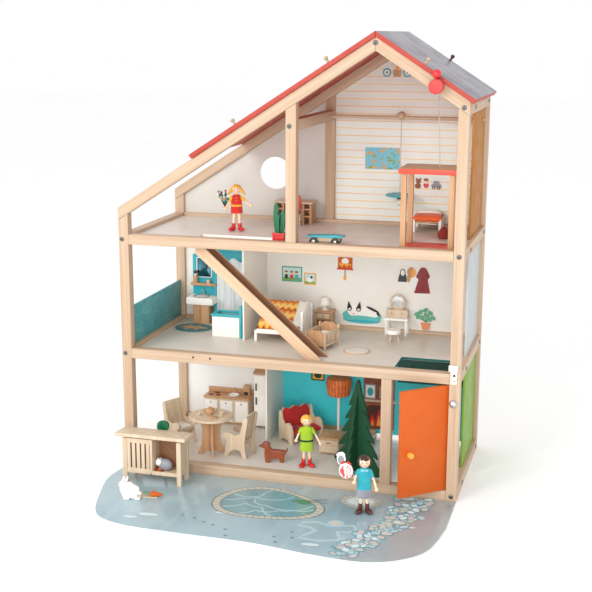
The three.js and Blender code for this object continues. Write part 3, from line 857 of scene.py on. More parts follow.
class Print(Model):
    """Flat shapes on a wall that faces the front, laid one over another."""

    def __init__(self, name, wall=None):
        super().__init__(name)
        self.depth = (WALL if wall is None else wall) - 0.1

    def shape(self, outline, material):
        self.depth -= INK
        return self.plate(outline, INK * 0.8, material, "front", self.depth, edge=0.0)

    def disc(self, x, z, radius, material, radius_z=None, turn=0.0):
        return self.shape(disc_points(radius, radius_z, centre=(x, z), turn=turn), material)

    def panel(self, x0, x1, z0, z1, material, radius=1.5):
        return self.shape(rounded_rectangle(x0, x1, z0, z1, radius), material)


def make_map_material():
    """A sea with scattered green and ochre land."""
    s = Surface("map_print", 0.45, 0.1)
    land = s.noise((70, 70, 90), 5, 0.6)
    kind = s.noise(50, 2)
    ground = s.mix(s.fit(kind, 0.45, 0.55), paint(120, 168, 96), paint(212, 172, 110))
    s.colour(s.mix(s.fit(land, 0.53, 0.56), paint(120, 198, 220), ground))
    s.gloss(kind, 0.4, 0.5)
    return s.material


def make_brick_material():
    s = Surface("brick_print", 0.55)
    bricks = s.tree.nodes.new("ShaderNodeTexBrick")
    turn = s.tree.nodes.new("ShaderNodeCombineXYZ")
    axes = s.axes()
    s.feed(turn.inputs[0], axes["X"])
    s.feed(turn.inputs[1], axes["Z"])
    s.feed(bricks.inputs["Vector"], turn.outputs[0])
    bricks.inputs["Scale"].default_value = 1
    for name, size in (("Brick Width", 16), ("Row Height", 6.5), ("Mortar Size", 0.6)):
        bricks.inputs[name].default_value = size * MM
    bricks.inputs["Color1"].default_value = paint(176, 98, 70)
    bricks.inputs["Color2"].default_value = paint(150, 78, 56)
    bricks.inputs["Mortar"].default_value = paint(112, 66, 52)
    s.colour(s.mix(s.fit(s.noise(300, 2), 0.4, 0.7, 0, 0.35), bricks.outputs["Color"], paint(120, 62, 48)))
    s.relief(bricks.outputs["Fac"], 0.1)
    return s.material


def make_map():
    world = Print("world_map_print")
    world.panel(449, 530, 626, 677, white_paint)
    world.panel(450.5, 528.5, 627.5, 675.5, make_map_material())
    world.make("root", "striped_print")


def make_glider_print():
    glider = Print("glider_print")
    glider.disc(519, 839, 36, white_paint, 8.5)
    glider.disc(519, 839, 33, make_paint("pale_grey_ink", paint(222, 220, 214), paint(196, 196, 192)), 5.5)
    for x in (496, 541):
        glider.disc(x, 838, 9.5, teal_paint)
        glider.disc(x, 838, 6, white_paint)
        glider.disc(x, 838, 3, grey_paint)
    glider.panel(510, 527, 829, 844, tan_wood, 3)
    glider.disc(518, 847, 4, yellow_paint)
    glider.make("root", "striped_print")


def make_toy_shelf_print():
    """A bear, a doll and a toy car in a row."""
    toys = Print("toy_shelf_print")
    toys.disc(570, 594, 7, brown_paint, 6)
    toys.disc(571, 604, 5.5, brown_paint)
    toys.disc(566.5, 609, 2.2, brown_paint)
    toys.disc(575.5, 609, 2.2, brown_paint)
    toys.disc(588, 596, 6, red_paint, 6)
    toys.disc(588, 604, 5, skin)
    toys.disc(588, 608, 5.4, brown_paint, 3)
    toys.panel(600, 622, 592, 599, grey_paint, 2.5)
    toys.panel(604, 617, 597, 606, grey_paint, 3)
    for x in (605, 616):
        toys.disc(x, 591.5, 3.4, black_paint)
        toys.disc(x, 591.5, 1.4, white_paint)
    toys.make("root", "striped_print")


def make_pictures():
    family = Print("family_picture_print")
    frame_green = make_paint("picture_frame_ink", paint(92, 172, 150), paint(76, 150, 130))
    sky = make_paint("picture_sky_ink", paint(198, 226, 222), paint(176, 212, 208))
    grass = make_paint("picture_grass_ink", paint(120, 176, 92), paint(96, 152, 76))
    family.panel(258, 307, 361, 397, frame_green)
    family.panel(261, 304, 364, 394, sky, 0.8)
    family.panel(261, 304, 364, 371, grass, 0.8)
    for x, coat in ((269, pine_green), (282, red_paint), (294, teal_paint)):
        family.disc(x, 373, 4, coat, 6)
        family.disc(x, 382, 3.6, skin)
        family.disc(x, 384.5, 3.8, brown_paint, 2.2)
    family.make("root", "white_print")
    kitten = Print("kitten_picture_print")
    kitten.panel(311, 340, 356, 384, yellow_paint)
    kitten.panel(313.5, 337.5, 358.5, 381.5, sky, 0.8)
    kitten.panel(313.5, 337.5, 358.5, 364, grass, 0.8)
    kitten.disc(325, 368, 7, white_paint, 6)
    kitten.disc(329, 374, 3, black_paint)
    kitten.make("root", "white_print")


def make_clock_print():
    clock = Print("clock_print")
    clock.panel(391, 425, 398, 425, orange_paint)
    clock.disc(408, 416, 8.5, white_paint, 7)
    wave = [(394, 408), (400, 402), (406, 408), (412, 402), (418, 408), (422, 403), (422, 410), (394, 412)]
    clock.shape(wave, yellow_paint)
    clock.panel(389, 427, 396, 399.5, red_paint, 1)
    clock.panel(407, 409, 380, 396, brown_paint, 0.5)
    clock.disc(408, 377, 3.6, yellow_paint, 5)
    clock.make("root", "white_print")


def make_cat_print():
    cat = Print("cat_print")
    basket = make_paint("basket_ink", paint(96, 190, 184), paint(66, 166, 164))
    cat.disc(449, 291, 46, basket, 18)
    cat.disc(458, 299, 34, white_paint, 13)
    cat.disc(430, 302, 15, white_paint, 13)
    for x in (420, 441):
        cat.shape([(x - 6, 308), (x + 6, 308), (x + (3 if x > 430 else -3), 325)], black_paint)
        cat.disc(x, 306, 5.5, black_paint)
        cat.disc(x + 0.5, 305, 3.2, white_paint)
        cat.disc(x + 1, 304.6, 1.4, black_paint)
    cat.disc(430, 296, 2.2, blush, 1.6)
    cat.disc(474, 308, 16, black_paint, 3, turn=-0.4)
    cat.disc(487, 298, 5, black_paint, 3, turn=-0.9)
    cat.disc(449, 283, 44, basket, 9)
    cat.disc(452, 279, 38, teal_paint, 3.5)
    cat.make("root", "white_print")


def make_coat_print():
    coats = Print("coats_print")
    bag = make_paint("bag_ink", paint(50, 54, 62), paint(66, 70, 78))
    coats.shape([(530, 376), (551, 376), (549, 393), (533, 393)], bag)
    coats.disc(541, 397, 6.5, bag, 9)
    coats.disc(541, 397, 4.5, white_board, 7)
    ochre = make_paint("scarf_ink", paint(206, 150, 96), paint(180, 124, 76))
    coats.disc(560, 399, 9, ochre, 12)
    coats.disc(555, 385, 4, ochre, 9)
    coats.disc(566, 398, 4.5, yellow_paint, 9)
    maroon = make_paint("coat_ink", paint(140, 24, 24), paint(120, 20, 22))
    coat = [(568, 352), (604, 353), (598, 384), (603, 392), (594, 409), (580, 409), (571, 390), (577, 384)]
    coats.shape(coat, maroon)
    coats.disc(587, 407, 7, maroon, 5)
    coats.panel(585.5, 587, 356, 402, dark_brown, 0.4)
    coats.make("root", "white_print")


def make_plant_print():
    plant = Print("plant_print")
    stem = make_paint("stem_ink", paint(70, 140, 96), paint(54, 118, 82))
    leaf = make_paint("leaf_ink", paint(96, 168, 130), paint(70, 142, 108))
    root_x = 596
    root_z = 286
    leaves = [(579, 298), (584, 310), (595, 315), (606, 309), (612, 298), (604, 294), (588, 297)]
    leaves += [(597, 304), (576, 305)]
    for x, z in leaves:
        middle = ((x + root_x) / 2, (z + root_z) / 2)
        length = math.hypot(x - root_x, z - root_z) / 2
        plant.disc(*middle, length, stem, 0.7, turn=math.atan2(z - root_z, x - root_x))
    for x, z in leaves:
        plant.disc(x, z, 6.2, leaf, 4.4, turn=0.6 if x < root_x else -0.6)
    pot = make_paint("pot_ink", paint(226, 140, 92), paint(206, 118, 76))
    plant.shape([(589, 270), (603, 270), (607, 286), (585, 286)], pot)
    plant.make("root", "white_print")


def make_fireplace_print():
    """A brick chimney breast with a picture, a mantelpiece and a fire."""
    wall = span("ground_back_wall")[0].y
    fire = Print("fireplace_print", wall)
    fire.panel(456, 529, 22, 244, make_brick_material(), 0.5)
    fire.panel(450, 535, 88, 93, pale_wood, 1)
    fire.panel(464, 522, 24, 80, dark_brown, 10)
    for x, width, top in ((478, 9, 60), (493, 12, 72), (508, 9, 58)):
        base = [(x - width, 28), (x + width, 28)]
        tip = [(x + width * 0.6, 46), (x, top), (x - width * 0.6, 46)]
        fire.shape(base + tip, red_paint)
        fire.shape([(x - width / 2, 28), (x + width / 2, 28), (x, top - 14)], yellow_paint)
    fire.panel(470, 516, 26, 31, brown_paint, 2)
    fire.panel(459, 485, 96, 131, grey_paint, 1)
    fire.panel(461.5, 482.5, 98.5, 128.5, white_paint, 1)
    fire.disc(472, 113, 7, teal_paint, 10)
    fire.panel(494, 520, 100, 126, pale_wood, 1)
    fire.panel(496.5, 517.5, 102.5, 123.5, pine_green, 1)
    fire.make("root", "living_print")
    picture = Print("living_room_picture_print", wall)
    picture.panel(330, 362, 128, 156, pine_green)
    picture.panel(333, 359, 131, 153, yellow_paint)
    picture.disc(346, 141, 9, pine_green, 7)
    picture.make("root", "living_print")


make_map()
make_glider_print()
make_toy_shelf_print()
make_pictures()
make_clock_print()
make_cat_print()
make_coat_print()
make_plant_print()
make_fireplace_print()

# ---------------------------------------------------------------- garden mat


PATH_SLOPE = 0.3  # how far the path leans to the left for each step towards the front


def make_mat_material(path_x):
    """Glossy pale blue snow with paler streaks of painted reflection, greyer on the far side of the stone
    path.
    """
    s = Surface("mat_print", 0.22, 0.5)
    cloud = s.noise(9, 4)
    reflection_streaks = s.noise((30, 4, 1), 2)
    axes = s.axes()
    snow = s.mix(s.fit(cloud, 0.3, 0.75), paint(160, 184, 192), paint(145, 171, 181))
    # Paler streaks of painted reflection over the snow.
    snow = s.mix(s.fit(reflection_streaks, 0.5, 0.75, 0.0, 0.4), snow, paint(178, 199, 207))
    paved = s.mix(s.fit(cloud, 0.3, 0.75), paint(160, 172, 175), paint(150, 162, 167))
    bend = s.math("ADD", axes["X"], s.math("MULTIPLY", s.noise(14, 1), 0.02))
    bend = s.math("SUBTRACT", bend, s.math("MULTIPLY", axes["Y"], PATH_SLOPE))
    s.colour(s.mix(s.fit(bend, path_x, path_x + 0.006), snow, paved))
    s.gloss(cloud, 0.16, 0.28)
    s.relief(s.noise(600, 1), 0.01)
    return s.material


LAYER = 0.06  # how thick each shape printed on the mat is
THIN_LAYER = 0.05
CLEAR = 0.02  # how far it stands off what is under it


class MatPrint(Model):
    """Flat shapes on the mat, laid one over another."""

    def __init__(self, name):
        super().__init__(name)
        self.height = MAT

    def shape(self, outline, material):
        self.plate(outline, LAYER, material, "up", self.height + CLEAR, edge=0.0)
        self.height += LAYER
        return self

    def stroke(self, points, width, material):
        """A line that doesn't raise what comes after it."""
        self.plate(ribbon(points, width), THIN_LAYER, material, "up", self.height + CLEAR, edge=0.0)

    def disc(self, x, y, radius, material, radius_y=None, turn=0.0, count=18):
        return self.shape(disc_points(radius, radius_y, count, (x, y), turn), material)


def ribbon(points, width):
    """The outline of a band of that width along a line of points."""
    left = []
    right = []
    for i, point in enumerate(points):
        before = Vector(points[max(i - 1, 0)])
        after = Vector(points[min(i + 1, len(points) - 1)])
        along = (after - before).normalized()
        side = Vector((-along.y, along.x)) * width / 2
        left.append(tuple(Vector(point) + side))
        right.append(tuple(Vector(point) - side))
    return left + right[::-1]


ink_dark = make_paint("mat_dark_ink", paint(70, 88, 92), paint(92, 110, 114), 0.3)
ink_pale = make_paint("mat_pale_ink", paint(216, 230, 232), paint(196, 214, 218), 0.3)
ink_crack = make_paint("mat_crack_ink", paint(178, 204, 210), paint(164, 192, 200), 0.3)
ink_stone = make_paint("mat_stone_ink", paint(206, 200, 186), paint(184, 180, 166), 0.3)
ink_teal = make_paint("mat_teal_ink", paint(104, 158, 170), paint(84, 140, 154), 0.3)
ink_rose = make_paint("mat_rose_ink", paint(206, 194, 190), paint(188, 172, 170), 0.3)
ink_pond = make_paint("mat_pond_ink", paint(126, 166, 172), paint(110, 152, 162), 0.2, 0.5, 0.8)
ink_green = make_paint("mat_green_ink", paint(84, 150, 104), paint(60, 124, 84), 0.3)


def pond_point(angle, scale=1.0):
    """The bank of the pond at an angle round its middle."""
    radius = scale * (1 + 0.07 * math.cos(2 * angle + 0.6) + 0.07 * math.cos(3 * angle + 0.9))
    a = 102 * radius * math.cos(angle)
    b = 78 * radius * math.sin(angle)
    turn = math.radians(4)
    return (357 + a * math.cos(turn) - b * math.sin(turn), -116 + a * math.sin(turn) + b * math.cos(turn))


def pond_bank(scale):
    """The pond's whole outline."""
    steps = 60
    return [pond_point(2 * math.pi * i / steps, scale) for i in range(steps)]


def make_pond():
    """A frozen pond with a ring of stones, cracks in its ice and a tuft of reeds."""
    rng = random.Random(4)
    pond = MatPrint("pond_print")
    pond.shape(pond_bank(1.06), ink_dark)
    pond.shape(pond_bank(1.04), ink_stone)
    stones = 46
    for i in range(stones):
        angle = 2 * math.pi * (i + 0.5) / stones
        gap = [pond_point(angle, 0.88), pond_point(angle + rng.uniform(-0.02, 0.02), 1.05)]
        pond.stroke(gap, 1.1, ink_dark)
    pond.height += LAYER
    pond.shape(pond_bank(0.9), ink_dark)
    pond.shape(pond_bank(0.885), ink_pond)
    cracks = [
        [(2.6, 0.86), (2.2, 0.45), (1.2, 0.3), (0.9, 0.84)],
        [(3.6, 0.86), (3.3, 0.4), (4.6, 0.3), (5.0, 0.86)],
        [(4.2, 0.86), (4.4, 0.55), (5.4, 0.5), (0.1, 0.86)],
        [(1.6, 0.86), (1.9, 0.5), (3.0, 0.25), (4.9, 0.15), (5.8, 0.55), (6.1, 0.86)],
        [(3.1, 0.86), (2.8, 0.6), (2.2, 0.45)],
    ]
    for corners in cracks:
        line = []
        for (angle, radius), (next_angle, next_radius) in zip(corners, corners[1:]):
            here = Vector(pond_point(angle, radius))
            there = Vector(pond_point(next_angle, next_radius))
            sag = Vector((there.y - here.y, here.x - there.x)) * 0.14
            steps = 8
            for i in range(steps):
                t = i / steps
                line.append(tuple(here.lerp(there, t) + sag * 4 * t * (1 - t)))
        line.append(pond_point(*corners[-1]))
        pond.stroke(line, 3.6, ink_crack)
        pond.height += 0.01
    for _ in range(7):
        pond.height += CLEAR
        x = 420 + rng.uniform(-12, 14)
        y = -84 + rng.uniform(-12, 12)
        pond.disc(x, y, 10, ink_green, 5, rng.uniform(0, 3))
    for end in ((470, -66), (474, -84)):
        pond.stroke([(426, -84), end], 1.4, ink_dark)
    pond.make("root", "mat_print")


def make_stone_path():
    """Pale pebbles in a teal band that winds from the door to the mat's edge."""
    rng = random.Random(11)
    line = [(642, -12), (632, -60), (634, -108), (614, -150), (590, -194), (582, -236), (560, -262)]
    line.append((562, -300))
    inks = (ink_pale, ink_rose, ink_stone, ink_crack)
    rise = 0.003  # how much higher than the last pebble each one lies
    path = MatPrint("stone_path_print")
    for index in range(200):
        t = rng.uniform(0, len(line) - 1.001)
        start = Vector(line[int(t)])
        end = Vector(line[int(t) + 1])
        reach = 36 - 1.6 * t
        x, y = start.lerp(end, t % 1) + Vector((rng.uniform(-reach, reach), rng.uniform(-6, 6)))
        if y > -8 or y < -303:
            continue
        size = rng.uniform(8.5, 12.5)
        turn = rng.uniform(0, 3)
        path.disc(x, y, size, ink_teal, size * 0.74, turn, 12)
        path.disc(x, y, size * 0.76, inks[index % len(inks)], size * 0.55, turn, 12)
        path.height -= 2 * LAYER - rise
    path.make("root", "mat_print")


def make_snow_angel():
    """The outline that someone leaves who has lain in the snow and moved their arms."""
    angel = MatPrint("snow_angel_print")
    left = [(503, -185), (478, -174), (452, -182), (446, -198), (470, -202), (484, -212), (470, -236)]
    foot = [(462, -252), (500, -256), (538, -240)]
    right = [(530, -220), (524, -208), (546, -204), (560, -190), (548, -172), (522, -180)]
    angel.shape(ribbon(left + foot + right + left[:1], 8), ink_crack)
    angel.disc(513, -170, 17, ink_crack, 14)
    angel.disc(513, -170, 11, ink_stone, 9)
    angel.make("root", "mat_print")


def make_paw_prints():
    paws = MatPrint("paw_prints")
    trail = [(216, -215), (243, -222), (267, -235), (288, -243), (318, -256), (327, -283)]
    trail += [(416, -261), (425, -283), (443, -232), (450, -257)]
    for x, y in trail:
        paws.disc(x, y, 3.2, ink_dark, 1.8, 0.3, 10)
        paws.height -= LAYER
        for side in (-2.4, 0, 2.4):
            paws.disc(x + side, y + 3.4, 0.9, ink_dark, count=8)
            paws.height -= LAYER
    paws.make("root", "mat_print")


def make_round_bed():
    """A ring of pebbles with dark gaps, under the boy."""
    bed = MatPrint("round_bed_print")
    x = 536
    y = -54
    bed.disc(x, y, 40, ink_stone, 30, count=30)
    bed.disc(x, y, 30, ink_pale, 21, count=30)
    rays = 20
    for i in range(rays):
        angle = 2 * math.pi * i / rays
        ray = [
            (x + reach * math.cos(angle), y + rise * math.sin(angle))
            for reach, rise in ((26, 19), (41, 31))
        ]
        bed.stroke(ray, 1.2, ink_dark)
    bed.make("root", "mat_print")


def make_snow_patches():
    patches = MatPrint("snow_patches_print")
    for x, y, length in (
        (289, -182, 17), (490, -275, 17), (150, -230, 20), (120, -250, 14), (655, -150, 9)
    ):
        patches.disc(x, y, length, ink_pale, length * 0.3, 0.1)
        patches.height -= LAYER
    patches.make("root", "mat_print")


mat_edge = make_paint("mat_edge", paint(222, 226, 226), paint(202, 208, 210), 0.5, 0.0)
path_middle = at(636, 0, 0).x - PATH_SLOPE * at(0, -60, 0).y
finished_copy("garden_mat", [make_mat_material(path_middle), mat_edge], face_up, edge=0.4)
make_pond()
make_stone_path()
make_snow_angel()
make_paw_prints()
make_round_bed()
make_snow_patches()

# ---------------------------------------------------------------- kitchen


def make_kitchen_table(place):
    """A round top on two crossed boards, with cups and a teapot on it."""
    height = 88
    table = Model("kitchen_table", place)
    radius = 48.5
    low = height - 6
    edge = [(radius, low + 1.5), (radius, height - 1.5), (radius - 1.5, height)]
    table.lathe([(0, low), (radius - 2.5, low), *edge, (0, height)], pale_wood, steps=56)
    foot = [(-30, 0), (-20, 0), (-10, 6), (10, 6), (20, 0), (30, 0)]
    right = [(25, 14), (20, 34), (20, 56), (27, low - 0.2)]
    waist = foot + right + [(-x, z) for x, z in reversed(right)]
    for turn in (25, 115):
        about = Matrix.Rotation(math.radians(turn), 4, "Z")
        table.plate(waist, 5, tan_wood, "front", -2.5, matrix=about)
    table.make()
    service = Model("tea_service", (place[0], place[1], place[2] + height))
    cup = [(0, 0), (8, 0), (8.5, 1), (3, 1.4), (3.4, 2), (5.4, 8), (4.6, 8.2), (0, 3)]
    for x, y in ((-24, -14), (22, 6), (-6, 26)):
        service.lathe(cup, pale_wood, (x, y, 0))
    pot = [(0, 0), (6, 0), (9, 4), (9.5, 9), (6.5, 14), (3.5, 15), (3.5, 16), (1.6, 18.5), (0, 19)]
    service.lathe(pot, tan_wood, (-4, 2, 0))
    service.limb([(4, 2, 7), (9, 2, 10), (11, 2, 14)], 1.3, tan_wood)
    service.limb([(-12, 2, 4), (-17, 2, 7), (-16, 2, 12), (-11, 2, 13)], 1.1, tan_wood)
    service.block((6, 20), (-24, -10), (0, 2), tan_wood)
    service.make()


def make_kitchen_chair(name, place, turn):
    """An armchair cut from boards: two curved sides, a seat and a tall curved back. It faces +x."""
    chair = Model(name, place, turn)
    legs = [(-26, 0), (-17, 0), (-10, 16), (4, 18), (14, 12), (20, 0), (29, 0), (25, 20), (22, 38)]
    arm = [(30, 44), (30, 52), (20, 56), (2, 50), (-10, 54)]
    back = [(-14, 70), (-19, 92), (-26, 95), (-30, 90), (-25, 62), (-21, 36), (-22, 18)]
    for y in (-26, 21):
        chair.plate(legs + arm + back, 5, pale_wood, "front", y, 0.9)
    chair.block((-18, 24), (-20.5, 20.5), (32, 37), pale_wood, 1)
    lean = Matrix.Rotation(math.radians(-9), 4, "Y")
    chair.block((-23, -18), (-20.5, 20.5), (40, 96), pale_wood, 2, lean)
    chair.block((-15, 22), (-18, 18), (37.2, 42), white_paint, 1.8)
    chair.make()


def make_kitchen_counter(x0, x1, front, height):
    """A low run of cupboards with a hob, a sink, a tap and a coffee maker."""
    back = WALL - 1
    counter = Model("kitchen_counter")
    foot = GROUND + 4
    top = GROUND + height
    counter.block((x0 + 2, x1 - 2), (front + 2, back), (foot, top - 4), pale_wood)
    counter.block((x0 + 5, x1 - 5), (front + 5, back - 3), (GROUND, foot + 1), tan_wood)
    counter.block((x0, x1), (front, back), (top - 4, top), tan_wood, 1)
    counter.block((x0, x1), (back - 4, back), (top, top + 12), tan_wood, 1)
    doors = 3
    pitch = (x1 - x0) / doors
    for i in range(doors):
        left = x0 + i * pitch + 3.5
        counter.block((left, left + pitch - 7), (front, front + 2.4), (foot + 3, top - 8), white_paint, 0.8)
        knob = Vector((left + pitch / 2 - 4, front, top - 14))
        counter.rod(knob - Vector((0, 1.5, 0)), knob, 2, tan_wood)
    for x, y in ((x0 + 15, front + 14), (x0 + 33, front + 14), (x0 + 24, front + 31)):
        counter.rod((x, y, top), (x, y, top + 0.8), 7, brown_paint)
        counter.rod((x, y, top + 0.8), (x, y, top + 1.2), 4, black_paint, edge=0.2)
    sink_x = x1 - 44
    sink = [(0, 0.4), (9, 0.4), (11, 3), (12.5, 3), (12.5, 1), (0, 0)]
    counter.lathe(sink, white_paint, (sink_x, front + 20, top))
    spout = [(sink_x, back - 10, top), (sink_x, back - 10, top + 14), (sink_x, back - 20, top + 14)]
    counter.limb(spout, 1.6, tan_wood)
    counter.block((x1 - 20, x1 - 6), (back - 24, back - 6), (top, top + 26), tan_wood, 1.2)
    counter.block((x1 - 18, x1 - 8), (back - 26, back - 23), (top + 4, top + 12), black_paint, 0.8)
    counter.make()


def make_fridge(x0, x1, front, height):
    fridge = Model("fridge")
    back = WALL - 1
    top = GROUND + height
    split = GROUND + height * 0.62
    fridge.block((x0, x1), (front + 3, back), (GROUND + 3, top - 4), white_paint)
    fridge.block((x0 + 1, x1 - 1), (front, front + 3), (GROUND + 5, split - 1), white_paint, 1.2)
    fridge.block((x0 + 1, x1 - 1), (front, front + 3), (split + 1, top - 6), white_paint, 1.2)
    fridge.block((x0 - 1.5, x1 + 1.5), (front - 1, back), (top - 4, top), tan_wood, 1)
    gable = [(front - 1, top - 0.5), (back, top - 0.5), (back, top + 16)]
    fridge.plate(gable, x1 - x0 + 2, tan_wood, "side", x0 - 1, 0.8)
    for z in (split - 26, split + 8):
        fridge.block((x0 + 5, x0 + 8), (front - 3, front), (z, z + 18), black_paint, 0.8)
    for x in (x0 + 12, x1 - 8):
        fridge.rod((x, front + 10, GROUND), (x, front + 10, GROUND + 4), 4, black_paint)
    fridge.make("root", "white_print")


make_kitchen_table((165, 93, GROUND))
make_kitchen_chair("kitchen_chair_left", (72, 140, GROUND), -30)
make_kitchen_chair("kitchen_chair_right", (229, 106, GROUND), 172)
make_kitchen_counter(76, 190, 284, 66)
make_fridge(203, 246, 280, 134)

# ---------------------------------------------------------------- living room

red_upholstery = make_cloth("red_upholstery", paint(196, 40, 36), paint(164, 26, 28), 1100)


def make_sofa(place, turn):
    """A two-seater with a scalloped red back, two seat cushions and pale wooden arms."""
    sofa = Model("sofa", place, turn)
    half = 38
    feet = [(26, 0), (17, 0), (12, 7), (-12, 7), (-17, 0), (-27, 0)]
    arm = [(-27, 28), (-22, 42), (-12, 48), (6, 42), (14, 50), (20, 70), (26, 68), (27, 36)]
    for x in (-half - 6, half):
        sofa.plate(feet + arm, 6, pale_wood, "side", x, 1.0)
    right = [(half, 10), (half, 60), (half - 8, 74), (half - 22, 68)]
    back = [(-half, 10), *right, (0, 74)] + [(-x, z) for x, z in reversed(right[1:])]
    lean = Matrix.Translation((0, 14, 0)) @ Matrix.Rotation(math.radians(-8), 4, "X")
    sofa.plate(back, 5, pale_wood, "front", 3, 1.0, lean)
    sofa.make()
    cushions = Model("sofa_cushions", place, turn)
    cushions.cushion((-half + 0.5, -0.2), (-26, 11), (17, 33), red_upholstery)
    cushions.cushion((0.2, half - 0.5), (-26, 11), (17, 33), red_upholstery)
    cushions.plate([(x * 0.95, z * 0.92 + 6) for x, z in back], 6, red_upholstery, "front", -3.6, 2.2, lean)
    piece = cushions.make("root", "red_paint")


def make_low_table(x, y, width, depth, height):
    table = Model("low_cabinet", (x, y, GROUND))
    table.block((0, width), (0, depth), (height - 4, height), tan_wood, 1)
    table.block((2, width - 2), (3, depth - 2), (3, height - 4), pale_wood)
    table.block((4, width - 4), (1.2, 3.4), (height - 16, height - 6), pale_wood, 0.8)
    table.block((4, width - 4), (1.2, 3.4), (5, height - 18), pale_wood, 0.8)
    table.block((width / 2 - 5, width / 2 + 5), (0, 1.6), (height - 12, height - 10), brown_paint, 0.5)
    for foot_x in (4, width - 8):
        table.block((foot_x, foot_x + 4), (4, 8), (0, 3.2), tan_wood, 0.4)
        table.block((foot_x, foot_x + 4), (depth - 8, depth - 4), (0, 3.2), tan_wood, 0.4)
    table.make()


def make_shade_material(centre_x, centre_y):
    """Orange-brown lampshade board with darker upright stripes."""
    s = Surface("lampshade_print", 0.6)
    axes = s.axes()
    across = s.math("SUBTRACT", axes["X"], centre_x)
    deep = s.math("SUBTRACT", axes["Y"], centre_y)
    angle = s.math("ARCTAN2", deep, across)
    stripe = s.math("SINE", s.math("MULTIPLY", angle, 22))
    tone = s.mix(s.fit(s.noise(80, 3), 0.3, 0.7), paint(244, 138, 66), paint(220, 108, 48))
    s.colour(s.mix(s.fit(stripe, -0.2, 0.6, 0.0, 0.6), tone, paint(172, 76, 38)))
    s.relief(stripe, 0.1)
    return s.material


def make_floor_lamp(x, y):
    lamp = Model("floor_lamp", (x, y, GROUND))
    lamp.lathe([(0, 0), (15, 0), (16, 1), (16, 3), (13, 4.5), (4, 6), (4, 8), (0, 8)], white_paint)
    lamp.rod((0, 0, 6), (0, 0, 100), 3.4, white_paint)
    centre = at(x, y, 0)
    lamp.lathe([(0, 94), (25, 94), (26, 95), (30, 124), (29, 126), (27, 134), (18, 137), (0, 137)],
               make_shade_material(centre.x, centre.y), steps=48)
    lamp.make("root", "white_print")


def tree_outline(height, half_width, tiers=5):
    """A pointed evergreen whose tiers end in drooping tips, its foot on the ground."""

    def tip(tier):
        return half_width * (1 - 0.155 * tier), 8 + (height - 44) * tier / tiers

    right = [(half_width * 0.86, 0)]
    for tier in range(tiers):
        reach, low = tip(tier)
        next_reach, next_low = tip(tier + 1)
        right.append((reach, low))
        right.append((reach * 0.9, low + 9))
        right.append((next_reach * 0.62, next_low + 5))
    right[-1] = (half_width * 0.13, height - 26)
    crown = [(4, height - 5), (0, height), (-4, height - 5)]
    left = [(-x * 0.97, z and z + 3) for x, z in right][::-1]
    return right + crown + left


def make_tree(place, turn, height):
    """An evergreen of two boards that slot into each other."""
    tree = Model("evergreen_tree", place, turn)
    tree.plate(tree_outline(height, 72), 6, pine_green, "front", -3, 0.8)
    tree.plate([(y * 0.5, z * 0.97) for y, z in tree_outline(height, 72)], 6, pine_green, "side", -3, 0.8)
    tree.make("root", "green_print")


make_sofa((330, 238, GROUND), 50)
make_low_table(392, 152, 48, 60, 38)
make_floor_lamp(404, 296)
make_tree((497, 84, GROUND), -33, 200)

# ---------------------------------------------------------------- bathroom


def make_wash_stand(x, y):
    """A basin on a wooden pedestal, under a teal board with a mirror and a shelf."""
    stand = Model("wash_stand", (x, y, FIRST))
    stand.block((-19, 19), (-12, 14), (0, 44), tan_wood, 0.8)
    stand.block((-0.5, 0.5), (-12.6, -12), (3, 42), brown_paint, 0.2)
    for knob in (-4, 4):
        stand.rod((knob, -14, 30), (knob, -12, 30), 1.8, tan_wood)
    stand.block((-32, 33), (-24, 18), (46, 63), white_paint, 3)
    stand.lathe([(0, 0.2), (12, 0.2), (17, 4), (18.5, 4), (18.5, 2), (0, 0)], grey_paint, (0, -4, 60.5))
    stand.block((-29, 29), (16, 22), (44, 158), teal_paint, 1)
    stand.plate(rounded_rectangle(-19, 19, 104, 152, 4), 1.2, white_paint, "front", 14.6, 0.3)
    stand.plate(rounded_rectangle(-17, 17, 106, 150, 3), 0.8, mirror_glass, "front", 14.0, 0.2)
    stand.block((-31, 31), (4, 17), (86, 92), tan_wood, 1)
    stand.limb([(0, 12, 63), (0, 12, 74), (0, 2, 76)], 1.8, steel)
    stand.rod((-20, 9, 92), (-20, 9, 108), 5.5, tan_wood)
    stand.rod((-20, 9, 108), (-20, 9, 114), 2.4, white_paint)
    stand.ball((-20, 9, 117), 4.4, dark_brown, rings=8)
    stand.rod((12, 9, 92), (12, 9, 101), 4.5, pale_wood)
    stand.make("root", "teal_print")


def make_mirror_glass():
    s = Surface("mirror_glass", 0.08, 0.0, 1.0)
    smudge = s.noise(60, 3)
    s.colour(s.mix(s.fit(smudge, 0.3, 0.7), paint(86, 128, 140), paint(70, 108, 122)))
    s.gloss(smudge, 0.05, 0.14)
    return s.material


def make_curtain_material():
    """White board printed with the fine upright folds of a shower curtain."""
    s = Surface("shower_curtain_print", 0.5, 0.1)
    folds = s.noise((240, 240, 14), 3, 0.6)
    s.colour(s.mix(s.fit(folds, 0.35, 0.65), paint(244, 246, 246), paint(206, 218, 222)))
    s.relief(folds, 0.25)
    return s.material


mirror_glass = make_mirror_glass()


